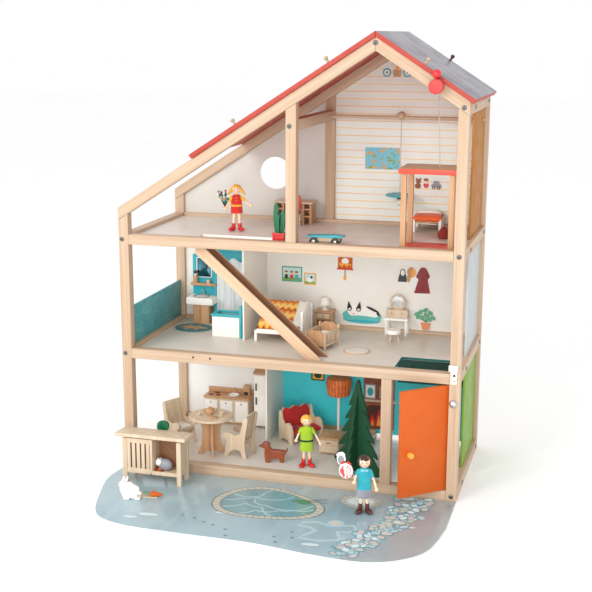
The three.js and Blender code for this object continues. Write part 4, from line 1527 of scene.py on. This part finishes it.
def make_shower_bath(x0, x1, front, back, wall):
    """A white bath with a teal lid and rim, against a tall shower panel with a teal frame."""
    bath = Model("shower_bath", (0, 0, FIRST))
    rim = 46
    bath.block((x0, x1), (front, front + 6), (0, rim), white_paint, 1.2)
    bath.block((x0, x1), (back - 6, back), (0, rim), white_paint, 1)
    bath.block((x0, x0 + 6), (front + 5, back - 5), (0, rim), white_paint, 1)
    bath.block((x0 + 5, x1 - 5), (front + 5, back - 5), (0, rim - 1), teal_paint, 1)
    bath.block((x1 - 6, x1), (front - 2, back), (0, rim + 26), teal_paint, 1.4)
    bath.block((x0 - 2, x1 - 5), (front - 2, front + 8), (rim, rim + 6), teal_paint, 1.6)
    bath.block((x0 - 2, x1 - 5), (back - 8, back), (rim, rim + 6), teal_paint, 1.6)
    bath.block((x0 - 2, x0 + 8), (front + 7, back - 7), (rim, rim + 6), teal_paint, 1.6)
    bath.make("root", "teal_print")
    screen = Model("shower_screen", (0, 0, FIRST))
    left = x0 - 34
    screen.block((left, x1), (wall + 2, wall + 7), (0, 168), make_curtain_material(), 1)
    screen.block((left - 6, left), (wall - 2, wall + 9), (0, 172), teal_paint, 1.2)
    screen.block((left, x1), (wall - 2, wall + 9), (168, 174), teal_paint, 1.2)
    wave = [(left, 168), (left, 150)]
    wave += [(left + (x1 - left) * i / 16, 150 + 5 * math.sin(i * 1.2)) for i in range(1, 16)]
    wave += [(x1, 150), (x1, 168)]
    screen.plate(wave, 1, teal_paint, "front", wall + 0.6, 0.2)
    screen.limb([(x1 - 26, wall + 2, 142), (x1 - 26, wall - 16, 146)], 1.8, steel)
    screen.rod((x1 - 26, wall - 16, 147), (x1 - 26, wall - 18, 140), 3, steel, end_radius=7)
    screen.make("root", "teal_print")


RUG_THREADS = 700  # threads to the metre in the pile of a rug


def make_bath_mat(x, y):
    """A dark teal oval rug with a tan creature cut out of it."""
    rug = Model("bath_mat", (x, y, FIRST))
    teal_pile = make_cloth("bath_mat_pile", paint(24, 108, 108), paint(16, 88, 90), RUG_THREADS)
    rug.plate(disc_points(43, 37, 40), 1.6, teal_pile, "up", 0.05, 0.6)
    tan_pile = make_cloth("bath_mat_tan", paint(186, 140, 98), paint(158, 114, 78), RUG_THREADS)
    back = [(-32, 4), (-22, 9), (-8, 12), (6, 11), (18, 6), (34, 2)]
    belly = [(35, -4), (20, -5), (8, -11), (-8, -12), (-20, -7), (-31, -4)]
    rug.plate(back + belly, 0.8, tan_pile, "up", 1.4, 0.3)
    for leg_x, leg_y in ((-14, 15), (10, 14), (-12, -16), (12, -15)):
        rug.plate(disc_points(4, 6, 12, (leg_x, leg_y)), 0.8, tan_pile, "up", 1.35, 0.3)
    rug.ball((-27, 4, 2.4), 1.3, black_paint, rings=6)
    rug.make("root", "teal_print")


make_wash_stand(77, 286)
make_shower_bath(142, 212, 170, 214, 296)
make_bath_mat(76, 228)

# ---------------------------------------------------------------- bedroom and playroom


def make_quilt_material():
    """Orange and yellow scallops with dark zigzag rows."""
    s = Surface("quilt_print", 0.85)
    s.shader.inputs["Sheen Weight"].default_value = 0.2
    axes = s.axes()
    row = s.math("MULTIPLY", axes["Y"], 1 / (26 * MM))
    wave = s.math("MULTIPLY", s.math("PINGPONG", s.math("MULTIPLY", axes["X"], 1 / (7 * MM)), 1), 0.28)
    phase = s.math("FRACT", s.math("ADD", row, wave))
    tone = s.mix(s.fit(phase, 0.1, 0.75), paint(250, 198, 84), paint(240, 132, 42))
    zigzag = s.math("LESS_THAN", s.math("ABSOLUTE", s.math("SUBTRACT", phase, 0.8)), 0.055)
    pale = s.math("LESS_THAN", s.math("ABSOLUTE", s.math("SUBTRACT", phase, 0.3)), 0.06)
    tone = s.mix(pale, tone, paint(250, 224, 160))
    s.colour(s.mix(zigzag, tone, paint(92, 40, 28)))
    weave = s.noise(1500, 1)
    s.relief(weave, 0.12)
    return s.material


quilt = make_quilt_material()


def make_bed(name, place, turn, width, length, head, quilt_material, rise=0):
    """A white bed whose head is at +y, with a quilt and a pillow that may slant by rise degrees."""
    bed = Model(name, place, turn)
    half = width / 2
    rail = 18
    for x in (-half, half - 6):
        for y in (0, length - 6):
            top = head if y else rail + 7
            bed.block((x, x + 6), (y, y + 6), (0, top), white_paint, 1)
    for x in (-half, half - 4):
        bed.block((x, x + 4), (5, length - 5), (rail, rail + 10), white_paint, 0.8)
    right = [(half - 5, rail), (half - 5, head - 10), (half * 0.5, head - 1)]
    arch = [(5 - half, rail), *right, (0, head + 3)] + [(-x, z) for x, z in reversed(right[1:])]
    bed.plate(arch, 4, white_paint, "front", length - 5, 0.8)
    bed.plate([(x, rail + (z - rail) * 0.12) for x, z in arch], 4, white_paint, "front", 1, 0.8)
    bed.block((-half + 4, half - 4), (5, length - 5), (rail + 2, rail + 5), tan_wood, 0.5)
    bed.make("root", "white_print")
    cover = Model(name + "_quilt", place, turn)
    lift = half * math.sin(math.radians(rise))
    slant = Matrix.Rotation(math.radians(rise), 4, "Y")
    low = rail + 4 + lift
    cover.cushion((-half, half), (5, length - 18), (low, low + 13), quilt_material, 0.6, 0.02, slant)
    pillow = ((-half + 5, half - 5), (length - 28, length - 5), (low + 3, low + 18))
    cover.cushion(*pillow, white_cloth, tilt=slant)
    piece = cover.make("root", "cord")


white_cloth = make_cloth("white_linen", paint(246, 242, 234), paint(224, 218, 208))


def make_nightstand(x, y):
    stand = Model("nightstand", (x, y, FIRST))
    stand.block((-22, 22), (-18, 18), (41, 45), tan_wood, 1)
    for left in (-20, 16):
        stand.block((left, left + 4), (-16, 16), (0, 41), tan_wood)
    stand.block((-16, 16), (12, 15), (4, 41), tan_wood)
    stand.block((-16, 16), (-15, 15), (24, 27), tan_wood)
    stand.block((-15.5, 15.5), (-17, -14), (28, 40), pale_wood, 1)
    stand.rod((0, -19, 34), (0, -17, 34), 2, tan_wood)
    stand.block((-16, 16), (-15, 15), (3, 6), tan_wood)
    stand.make()
    lamp = Model("bedside_lamp", (x, y, FIRST + 45))
    lamp.lathe([(0, 0), (8, 0), (8, 2), (2.4, 4), (2.4, 12), (0, 12)], white_paint)
    lamp.lathe([(0, 12), (12, 12), (12.4, 13), (8, 29), (0, 29)], white_cloth)
    lamp.make("root", "white_print")


def make_crib(place, turn):
    """A cot with barred sides, a quilt and a pillow."""
    crib = Model("crib", place, turn)
    for x in (-25, 21):
        for y in (-33, 29):
            crib.block((x, x + 4), (y, y + 4), (0, 40 if y < 0 else 46), pale_wood, 0.8)
        crib.block((x, x + 4), (-29, 29), (34, 38), pale_wood, 0.8)
        crib.block((x, x + 4), (-29, 29), (8, 12), pale_wood, 0.8)
        for i in range(7):
            y = -24 + 8 * i
            crib.rod((x + 2, y, 11), (x + 2, y, 35), 1.4, pale_wood, sides=10)
    for y, top in ((-33, 42), (29, 48)):
        arch = [(-21, 8), (21, 8), (21, top - 6), (10, top), (-10, top), (-21, top - 6)]
        crib.plate(arch, 4, tan_wood, "front", y, 0.9)
    crib.block((-21, 21), (-29, 29), (10, 13), tan_wood)
    crib.make()
    bedding = Model("crib_mattress", place, turn)
    cot_quilt = make_cloth("cot_quilt", paint(228, 188, 150), paint(206, 158, 120))
    bedding.cushion((-20.8, 20.8), (-28.5, 28.5), (12.5, 23), cot_quilt, 0.6, 0.02)
    bedding.cushion((-14, 14), (12, 27), (20, 30), white_cloth)
    bedding.make("root", "cord")


def make_dressing_table(x, y):
    """A pale table with a drawer and a round mirror."""
    table = Model("dressing_table", (x, y, FIRST))
    for leg_x in (-25, 20):
        for leg_y in (-14, 10):
            table.block((leg_x, leg_x + 5), (leg_y, leg_y + 4), (0, 34), white_paint, 0.8)
    table.block((-27, 27), (-17, 16), (34, 39), white_paint, 1)
    table.block((-24, 24), (-2, 14), (39, 56), pale_wood, 1)
    for knob in (-12, 12):
        table.rod((knob, -3.5, 47), (knob, -2, 47), 2, tan_wood)
    table.block((-9, 9), (5, 13), (55, 62), pale_wood, 0.8)
    ring = Matrix.Translation((0, 9, 71)) @ Matrix.Rotation(math.pi / 2, 4, "X")
    table.lathe([(0, -2), (17, -2), (18, -1), (18, 2), (17, 3), (0, 3)], pale_wood, turn=ring)
    table.lathe([(0, 3), (14, 3), (14, 3.8), (0, 3.8)], mirror_bright, turn=ring)
    table.make("root", "white_print")


mirror_bright = make_metal("mirror_foil", paint(232, 236, 238), 0.12)


def make_stool(x, y):
    stool = Model("stool", (x, y, FIRST))
    for i in range(3):
        angle = 2 * math.pi * i / 3
        foot = (12 * math.cos(angle), 12 * math.sin(angle), 0)
        stool.rod(foot, (foot[0] * 0.7, foot[1] * 0.7, 20), 2.2, pale_wood)
    stool.lathe([(0, 19), (15, 19), (17, 20.5), (17, 25), (15, 28), (0, 29)], white_paint)
    stool.make("root", "white_print")


def make_round_rug(x, y):
    rug = Model("round_rug", (x, y, FIRST))
    rim = make_cloth("rug_rim", paint(224, 182, 140), paint(204, 156, 114), RUG_THREADS)
    rug.plate(disc_points(29, count=44), 1.4, rim, "up", 0.05, 0.5)
    middle = make_cloth("rug_middle", paint(236, 232, 224), paint(214, 208, 200), RUG_THREADS)
    rug.plate(disc_points(25, count=44), 0.7, middle, "up", 1.3, 0.3)
    rug.make("root", "white_print")


make_bed("bed", (243, 204, FIRST), -88, 94, 110, 72, quilt, 29)
make_nightstand(367, 305)
make_crib((399, 158, FIRST), -14)
make_dressing_table(534, 306)
make_stool(540, 236)
make_round_rug(480, 138)

# ---------------------------------------------------------------- attic


def make_desk(x0, x1, front, back):
    desk = Model("desk", (0, 0, ATTIC))
    top = 50
    desk.block((x0, x1), (front, back), (top - 4, top), pale_wood, 1)
    for x in (x0 + 3, x1 - 24):
        for side in (x, x + 17):
            desk.block((side, side + 4), (front + 3, back - 3), (0, top - 4), tan_wood, 0.8)
        for z in (16, top - 18):
            desk.block((x + 3, x + 18), (front + 4, back - 4), (z, z + 3), tan_wood, 0.5)
    desk.block((x0 + 26, x0 + 44), (back - 20, back - 8), (top, top + 3), teal_paint, 0.5)
    desk.make()


def make_red_chair(place, turn):
    """A small red chair whose back is cut like a rounded shield."""
    chair = Model("red_chair", place, turn)
    for x in (-11, 8):
        for y in (-10, 7):
            chair.block((x, x + 3), (y, y + 3), (0, 27), pale_wood, 0.6)
    chair.block((-13, 13), (-12, 12), (27, 31), red_paint, 1.2)
    shield = rounded_rectangle(-12, 12, 31, 68, 9)
    chair.plate(shield, 4, red_paint, "front", 8, 1)
    chair.make("root", "red_paint")


def make_cactus(place):
    """A flat cactus of two crossed boards with small spines, in a red pot."""
    cactus = Model("cactus", place)
    cactus.block((-12, 12), (-9, 9), (0, 20), red_paint, 1.4)
    cactus.block((-13, 13), (-10, 10), (15, 20.5), red_paint, 1.2)
    arm = [(8, 18), (13, 34), (13, 58), (10, 68), (5, 64), (4, 46), (1, 38)]
    trunk = [(-1, 46), (-1, 72), (-5, 82), (-10, 76), (-12, 50)]
    cactus.plate([(-8, 18), *arm, *trunk], 6, cactus_green, "front", -3, 1.4)
    cross = [(-8, 18), (8, 18), (11, 34), (9, 52), (4, 60), (-5, 58), (-11, 44)]
    cactus.plate(cross, 6, cactus_green, "side", -3, 1.4)
    rng = random.Random(3)
    for _ in range(26):
        z = rng.uniform(26, 74)
        x = rng.uniform(-7, 7)
        cactus.rod((x, -2.8, z), (x, -4.2, z + 0.6), 0.35, white_paint, end_radius=0.1, edge=0.0, sides=6)
    cactus.make("root", "green_print")


def make_toy_car(place, turn):
    """A teal flat-bed on big dark wheels with pale hubs."""
    car = Model("toy_car", place, turn)
    car.block((-29, 29), (-8, 8), (7, 15.6), pale_wood, 0.8)
    deck = [(-38, 15.4), (38, 16), (38, 18.8), (20, 20.4), (0, 19.4), (-38, 18)]
    car.plate(deck, 26, teal_paint, "front", -13, 0.8)
    for x in (-22, 22):
        car.rod((x, -17, 8), (x, 17, 8), 1.6, pale_wood)
        for side in (-1, 1):
            car.rod((x, 11 * side, 8), (x, 17 * side, 8), 8, black_paint, edge=1)
            car.rod((x, 17 * side, 8), (x, 17.6 * side, 8), 3.2, steel, edge=0.2)
            car.rod((x, 17.5 * side, 8), (x, 18.2 * side, 8), 1.2, pale_wood, edge=0.1)
    car.make("root", "teal_print")


def make_bean_bag(x, y):
    bag = Model("bean_bag", (x, y, ATTIC))
    maroon = make_cloth("bean_bag_cloth", paint(150, 44, 32), paint(116, 30, 24))
    sack = [(0, 0), (9, 0), (12.5, 3), (13.5, 8), (11, 15), (6.5, 21), (3.5, 24), (2.6, 25), (0, 24.4)]
    bag.lathe(sack, maroon)
    bag.make("root", "red_paint")


make_desk(256, 346, 266, 312)
make_red_chair((309, 252, ATTIC), 0)
make_cactus((338, 36, ATTIC))
make_toy_car((434, 42, ATTIC), 2)
orange_quilt = make_cloth("orange_quilt", paint(240, 110, 48), paint(218, 84, 34), 700)
make_bed("attic_bed", (606, 240, ATTIC), 4, 62, 80, 28, orange_quilt)
make_bean_bag(652, 176)

# ---------------------------------------------------------------- dolls

DOLL_DEPTH = Matrix.Diagonal((1, 0.62, 1, 1))  # a doll's body is flatter than it is wide


def make_doll(name, place, turn, height, coat, hair, shoes, hem, sleeves, hands, style, trim=None):
    """A doll of wooden beads and cloth, facing the front: -y.

    hem is how high the coat's lower edge is and how wide half of it is; hands are the ends of
    the two arms, the left one first, as seen from the front. hair is its material, and style says
    whether it hangs in bunches.
    """
    doll = Model(name, place, turn)
    head = height * 0.1
    neck = height - 2 * head - 1
    shoulder = height * 0.112
    hem_height, hem_half = hem
    boot_top = height * 0.17
    for side in (-1, 1):
        hip = (side * 5, 0, hem_height + 5)
        knee = (side * 6, -2, hem_height * 0.6 + 3)
        ankle = (side * 7, 0, 6)
        doll.limb([hip, knee, ankle], 3.1, skin)
        toe_out = Matrix.Rotation(side * 0.5, 4, "Z")
        doll.ball((side * 9.5, -6, 4.8), 7.2, shoes, (0.86, 1.7, 0.66), toe_out)
        doll.rod((side * 7, 0, 4), (side * 6.6, 0, boot_top), 4.2, shoes, edge=0.8)
        hand = Vector(hands[0] if side < 0 else hands[1])
        start = Vector((side * shoulder * 0.9, 0, neck - 6))
        elbow = (start + hand) / 2 + Vector((side * 1.5, 1.5, -2.5))
        doll.limb([start, elbow, hand], 2.3, skin)
        doll.limb([start - Vector((side * 3, 0, 0)), start, start.lerp(elbow, 0.5)], 3.6, sleeves)
        doll.ball(hand, 3.9, skin, rings=8)
    waist = hem_height + (neck - hem_height) * 0.42
    skirt = [(0, hem_height), (hem_half, hem_height), (hem_half * 0.92, waist)]
    chest = [(shoulder, neck - 10), (shoulder * 0.94, neck - 4), (shoulder * 0.6, neck - 0.5)]
    collar = [(2.4, neck + 0.6), (0, neck + 0.6)]
    doll.lathe(skirt + chest + collar, coat, turn=DOLL_DEPTH)
    if trim is not None:
        inner = hem_half * 0.9
        belt = [(inner, waist - 2), (hem_half * 0.98, waist - 2), (hem_half * 0.99, waist + 2)]
        belt.append((inner, waist + 2))
        doll.lathe(belt, trim, turn=DOLL_DEPTH)
        for button in (5, 11, 17):
            doll.ball((0, -shoulder * 0.6, waist + button), 1.2, trim, (1, 0.5, 1), rings=6)
    doll.rod((0, 0, neck - 1), (0, 0, neck + 4), 2.6, skin)
    middle = Vector((0, 0, height - head))
    make_face(doll, middle, head)
    make_hair(doll, middle, head, hair, style)
    doll.make("root", "lift_wood")


def make_face(doll, middle, head):
    """A plain doll's head: a ball with dots for eyes, round cheeks and a small smile."""
    doll.ball(middle, head, skin, rings=16)
    for side in (-1, 1):
        eye = Vector((side * 0.36, -0.9, 0.1)) * head
        cheek = Vector((side * 0.58, -0.78, -0.24)) * head
        doll.ball(middle + eye, head * 0.11, black_paint, rings=6)
        doll.ball(middle + cheek, head * 0.18, blush, (1, 0.35, 1), rings=6)
    smile = []
    for x in (-0.28, -0.14, 0, 0.14, 0.28):
        point = Vector((x, -0.92 + abs(x) * 0.12, -0.42 + x * x * 0.9))
        smile.append(middle + point * head)
    doll.limb(smile, head * 0.045, red_paint)
    doll.ball(middle + Vector((0, -head, -head * 0.06)), head * 0.1, skin, rings=6)


def make_hair(doll, middle, head, material, style):
    """A cap of locks over the back and top of the head, with bunches or a fringe."""
    rng = random.Random(7)
    for _ in range(46):
        turn = rng.uniform(0, 2 * math.pi)
        rise = rng.uniform(-0.2, 1.0)
        flat = math.sqrt(max(0, 1 - rise * rise))
        out = Vector((flat * math.cos(turn), flat * math.sin(turn), rise))
        if out.y < -0.35 and out.z < 0.62:
            continue
        lock = out * head * 0.86
        doll.ball(middle + lock, head * 0.34, material, rings=7)
    for i in range(5):
        sweep = -0.6 + 0.3 * i
        lock = Vector((math.sin(sweep) * 0.85, -math.cos(sweep) * 0.62, 0.62)) * head
        doll.ball(middle + lock, head * 0.27, material, rings=7)
    if style == "bunches":
        for side in (-1, 1):
            for step in range(4):
                drop = Vector((side * head * (1.05 + 0.22 * step), 0, -head * (0.12 + 0.3 * step)))
                doll.ball(middle + drop, head * (0.42 - 0.06 * step), material, rings=7)
            doll.ball(middle + Vector((side * head * 0.98, 0, 0)), head * 0.24, red_paint, rings=7)


lime_cloth = make_cloth("lime_cloth", paint(172, 208, 48), paint(146, 184, 38))
red_cloth = make_cloth("red_cloth", paint(220, 48, 40), paint(188, 34, 32))
teal_cloth = make_cloth("teal_cloth", paint(52, 176, 190), paint(36, 150, 166))
grey_cloth = make_cloth("grey_cloth", paint(160, 158, 166), paint(138, 136, 146))
yellow_cloth = make_cloth("yellow_cloth", paint(250, 190, 60), paint(232, 162, 44))
bow_cloth = make_cloth("bow_cloth", paint(150, 208, 226), paint(120, 186, 208))
yellow_hair = make_cloth("yellow_hair", paint(246, 196, 78), paint(224, 164, 50), 900)
brown_hair = make_cloth("brown_hair", paint(72, 42, 30), paint(48, 28, 22), 900)


def make_boys_shorts(place, turn):
    """Grey shorts under the boy's shirt, and the pale bow at its collar."""
    shorts = Model("boy_shorts", place, turn)
    shorts.lathe([(0, 32), (14, 32), (15, 33), (14.4, 50), (0, 50)], grey_cloth, turn=DOLL_DEPTH)
    for side in (-1, 1):
        shorts.ball((side * 4, -7.4, 89.5), 3.2, bow_cloth, (1.3, 0.5, 0.8), rings=8)
    shorts.ball((0, -8, 89.5), 1.8, bow_cloth, rings=8)
    shorts.make("root", "cord")


boy_place = (553, -104, MAT)
make_doll(
    "girl_in_green", (388, 74, GROUND), 18, 114, lime_cloth, yellow_hair, red_paint,
    hem=(36, 15), sleeves=lime_cloth, hands=[(-23, -6, 60), (29, -7, 52)], style="bob", trim=pine_green,
)
make_doll(
    "boy_in_teal", boy_place, 14, 117, teal_cloth, brown_hair, dark_brown,
    hem=(49, 14.6), sleeves=teal_cloth, hands=[(-20, -10, 66), (24, -6, 50)], style="short",
)
make_boys_shorts(boy_place, 14)
make_doll(
    "girl_in_red", (209, 150, ATTIC), 14, 99, red_cloth, yellow_hair, red_paint,
    hem=(38, 13), sleeves=yellow_cloth, hands=[(-24, -7, 48), (31, -5, 55)], style="bunches",
    trim=yellow_cloth,
)


def make_bouquet(place):
    """A bunch of small flowers and leaves."""
    bouquet = Model("bouquet", place, 14)
    petals = (white_paint, yellow_paint, teal_paint, coral_paint)
    rng = random.Random(5)
    for index in range(16):
        tip = Vector((rng.uniform(-17, 10), rng.uniform(-7, 5), rng.uniform(14, 38)))
        bouquet.rod((0, 0, 0), tip, 0.5, pine_green, edge=0.0, sides=8)
        leaf = Matrix.Rotation(rng.uniform(0, 3), 4, "Y") @ Matrix.Rotation(rng.uniform(0, 3), 4, "Z")
        bouquet.ball(tip * 0.8, 3.6, cactus_green, (1, 0.3, 0.5), leaf, rings=7)
        if index % 2:
            bouquet.ball(tip, 2.4, petals[index // 2 % len(petals)], rings=7)
    bouquet.ball((0, 0, -1), 4, red_paint, (0.9, 0.9, 1.4), rings=8)
    bouquet.make("root", "green_print")


def make_presents():
    """Two cut-out presents with ribbons, on sticks in the boy's hand."""
    stripes = Surface("present_paper", 0.5, 0.1)
    wave = stripes.noise((240, 240, 60), 2)
    stripes.colour(stripes.mix(stripes.fit(wave, 0.45, 0.52), paint(214, 62, 60), paint(244, 206, 200)))
    stripes.relief(wave, 0.05)
    presents = Model("presents", (0, 0, 0))
    y = -118
    presents.plate(disc_points(14, 16, 24, (519, 90)), 3, white_paint, "front", y, 0.6)
    presents.plate(disc_points(11.5, 13.5, 24, (519, 89)), 0.8, stripes.material, "front", y - 0.8, 0.2)
    presents.plate(rounded_rectangle(517.5, 520.5, 76, 103, 1), 0.6, white_paint, "front", y - 1.3, 0.1)
    presents.plate(disc_points(9, 12, 20, (509, 112)), 3, white_paint, "front", y + 2, 0.6)
    presents.plate(disc_points(6.5, 9, 20, (509, 111)), 0.8, grey_paint, "front", y + 1.2, 0.2)
    for x, z, turn, ribbon_paint in (
        (504, 123, 0.7, white_paint),
        (513, 124, -0.7, white_paint),
        (513, 106, 0.6, red_paint),
        (525, 106, -0.6, red_paint),
    ):
        loop = disc_points(5.4, 2.6, 14, (x, z), turn)
        presents.plate(loop, 2, ribbon_paint, "front", y, 0.4)
    presents.limb([(519, y + 2, 76), (536, y + 6, 76)], 1.0, pale_wood)
    presents.limb([(509, y + 3, 100), (536, y + 6, 78)], 0.9, pale_wood)
    presents.make("root", "red_paint")


make_bouquet((185, 145, ATTIC + 50))
make_presents()

# ---------------------------------------------------------------- animals and the garden


def make_dog(place, turn):
    """A brown cut-out dachshund, its head to the left."""
    dog = Model("dog", place, turn)
    legs = [(-22, 0), (-12, 0), (-11, 9), (7, 9), (9, 0), (18, 0), (19, 14)]
    back = [(22, 21), (20, 27), (14, 27), (8, 28), (-8, 29), (-12, 34)]
    head = [(-13, 42), (-19, 47), (-26, 45), (-33, 38), (-32, 34), (-24, 33), (-25, 22), (-24, 10)]
    dog.plate(legs + back + head, 12, brown_paint, "front", -6, 2.2)
    ear = [(-22, 44), (-16, 42), (-14, 32), (-17, 26), (-21, 30)]
    for y in (-8, 6):
        dog.plate(ear, 2, brown_paint, "front", y, 0.7)
    dog.ball((-34, 0, 37), 2, black_paint, rings=8)
    for y in (-6.2, 6.2):
        dog.ball((-26, y, 40), 1.2, black_paint, rings=6)
    dog.rod((-20, -6.6, 32), (-20, 6.6, 32), 1.2, teal_paint)
    dog.limb([(19, 0, 22), (24, 0, 26), (25, 0, 30)], 2, brown_paint)
    dog.make("root", "lift_wood")


def make_rabbit(place, turn):
    """A white cut-out rabbit with a bumpy outline, and its long ears back."""
    rabbit = Model("rabbit", place, turn)
    outline = []
    steps = 44
    for i in range(steps):
        angle = 2 * math.pi * i / steps
        radius = 17 + 1.5 * math.sin(5 * angle)
        outline.append((radius * 1.12 * math.cos(angle), 17 + radius * math.sin(angle)))
    rabbit.plate(outline, 7, white_paint, "front", -3.5, 1.2)
    rabbit.ball((-13, -1, 30), 9, white_paint, (1, 0.75, 0.95))
    for x in (-12, -5):
        rabbit.ball((x, 0, 41), 3.4, white_paint, (0.8, 0.7, 2.0), Matrix.Rotation(0.35, 4, "Y"))
    rabbit.ball((20, 0, 12), 4.4, white_paint)
    for x in (-12, 10):
        rabbit.block((x, x + 12), (-8, 8), (0, 4), white_paint, 1.6)
    rabbit.ball((-19, -5.4, 32), 1.1, black_paint, rings=6)
    rabbit.make("root", "white_print")


def make_carrots(place, turn):
    """Two orange carrots with feathery tops, on a small board."""
    carrots = Model("carrots", place, turn)
    carrots.plate(rounded_rectangle(-24, 14, -8, 8, 3), 1.6, pale_wood, "up", 0.05, 0.5)
    for y in (-4, 4):
        carrots.rod((2, y, 6), (22, y * 0.6, 5), 4.6, orange_paint, end_radius=1.2, edge=0.8)
        carrots.ball((2, y, 6), 4.6, orange_paint, rings=8)
        for spread in (-0.3, 0, 0.3):
            tip = (-16, y + 12 * spread, 7 + 5 * abs(spread))
            carrots.rod((0, y, 6), tip, 1.0, ink_green, end_radius=0.5, edge=0.0, sides=8)
    carrots.make("root", "orange_paint")


def make_hutch(x0, x1, front, back):
    """A pet's hutch: a slotted wall on the left, an open pen on the right and a flat roof."""
    hutch = Model("pet_hutch", (0, 0, MAT))
    top = 96
    middle = x0 + (x1 - x0) * 0.47
    for x in (x0, x1 - 10):
        for y in (front, back - 8):
            hutch.block((x, x + 10), (y, y + 8), (0, top), pale_wood, 1.2)
    hutch.block((x0 + 2, x1 - 2), (front + 4, back - 2), (20, 25), pale_wood, 0.8)
    # The back board is in the slide trough's darker wood of painted shade.
    hutch.block((x0 + 8, x1 - 8), (back - 6, back - 2), (24, top), slide_trough_shade, 0.6)
    hutch.block((middle, middle + 5), (front + 1, back - 4), (24, top), pale_wood, 0.8)
    for levels in ((20, 31), (86, top)):
        hutch.block((x0 + 9, middle + 1), (front + 1, front + 5), levels, pale_wood, 0.6)
    bars = 5
    run = middle - x0 - 8
    for i in range(bars):
        x = x0 + 9 + run * (i + 0.1) / bars
        hutch.block((x, x + run / bars * 0.7), (front + 1, front + 5), (30, 87), pale_wood, 0.8)
    hutch.block((middle + 4, x1 - 9), (front + 1, front + 5), (20, 28), pale_wood, 0.6)
    for left in (x0 + 2, x1 - 7):
        hutch.block((left, left + 5), (front + 7, back - 7), (24, top), pale_wood, 0.8)
    slope = Matrix.Rotation(math.radians(-5), 4, "X")
    hutch.block((x0 - 14, x1 + 12), (front - 6, back + 3), (top + 1.5, top + 9), pale_wood, 1.6, slope)
    hutch.make()
    pet = Model("guinea_pig", (middle + 26, front + 20, MAT + 25))
    pet.ball((0, 0, 13), 13, grey_paint, (1.25, 0.7, 1))
    pet.ball((-13, -3, 18), 8, white_paint, (1, 0.8, 1))
    pet.ball((-18, -8, 20), 1.1, black_paint, rings=6)
    for x in (-15, -9):
        pet.ball((x, 0, 25), 3, grey_paint, (1, 0.5, 1), rings=7)
    pet.make("root", "cord")
    feed = Model("feed_bowl", (middle + 16, front + 12, MAT + 25))
    feed.lathe([(0, 0), (7, 0), (8.5, 5), (7.6, 5), (6.4, 1.4), (0, 1.4)], brown_paint)
    feed.ball((1, 0, 4), 4, orange_paint, (1.3, 0.8, 0.7), rings=8)
    feed.make("root", "orange_paint")


def make_bush(place):
    """A small round tree behind the hutch, of two slotted ovals on a stem."""
    bush = Model("round_bush", place)
    bush.rod((0, 0, 0), (0, 0, 94), 3, tan_wood)
    for i in range(2):
        about = Matrix.Rotation(math.radians(60 * i - 10), 4, "Z")
        leaf = disc_points(14, 12, 26, (0, 106))
        bush.plate(leaf, 5, cactus_green, "front", -2.5, 1.2, about)
    bush.lathe([(0, 0), (13, 0), (13, 4), (4, 6), (0, 6)], tan_wood)
    bush.make("root", "green_print")


make_dog((318, 78, GROUND), 14)
make_rabbit((84, -168, MAT), 12)
make_carrots((122, -146, MAT), 8)
make_hutch(32, 162, -84, -36)
make_bush((98, -20, MAT))

# ---------------------------------------------------------------- floor and light


def make_studio():
    """A pale floor and soft light from the upper left and the front."""
    floor = Surface("studio_floor", 0.75)
    floor.colour(floor.mix(floor.noise(2, 2), paint(255, 255, 255), paint(252, 252, 252)))
    bpy.ops.mesh.primitive_plane_add(size=30, location=(0, 0, -0.0005))
    ground = bpy.context.object
    ground.name = "studio_floor"
    ground.data.materials.append(floor.material)

    def panel(name, place, size, watts):
        light = bpy.data.lights.new(name, "AREA")
        light.shape = "RECTANGLE"
        light.size, light.size_y = size
        light.energy = watts
        lamp = bpy.data.objects.new(name, light)
        lamp.location = place
        aim = Vector((0, 0, 0.4)) - Vector(place)
        lamp.rotation_euler = aim.to_track_quat("-Z", "Y").to_euler()
        bpy.context.collection.objects.link(lamp)

    panel("key_light", (-1.3, -2.9, 1.9), (1.2, 1.2), 46)
    panel("front_fill", (0.7, -3.3, 0.9), (1.8, 1.4), 34)
    world = bpy.data.worlds.new("studio")
    world.use_nodes = True
    background = world.node_tree.nodes["Background"]
    background.inputs["Color"].default_value = (1, 1, 1, 1)
    background.inputs["Strength"].default_value = 1.0
    bpy.context.scene.world = world
    bpy.context.scene.view_settings.view_transform = "Standard"


make_studio()
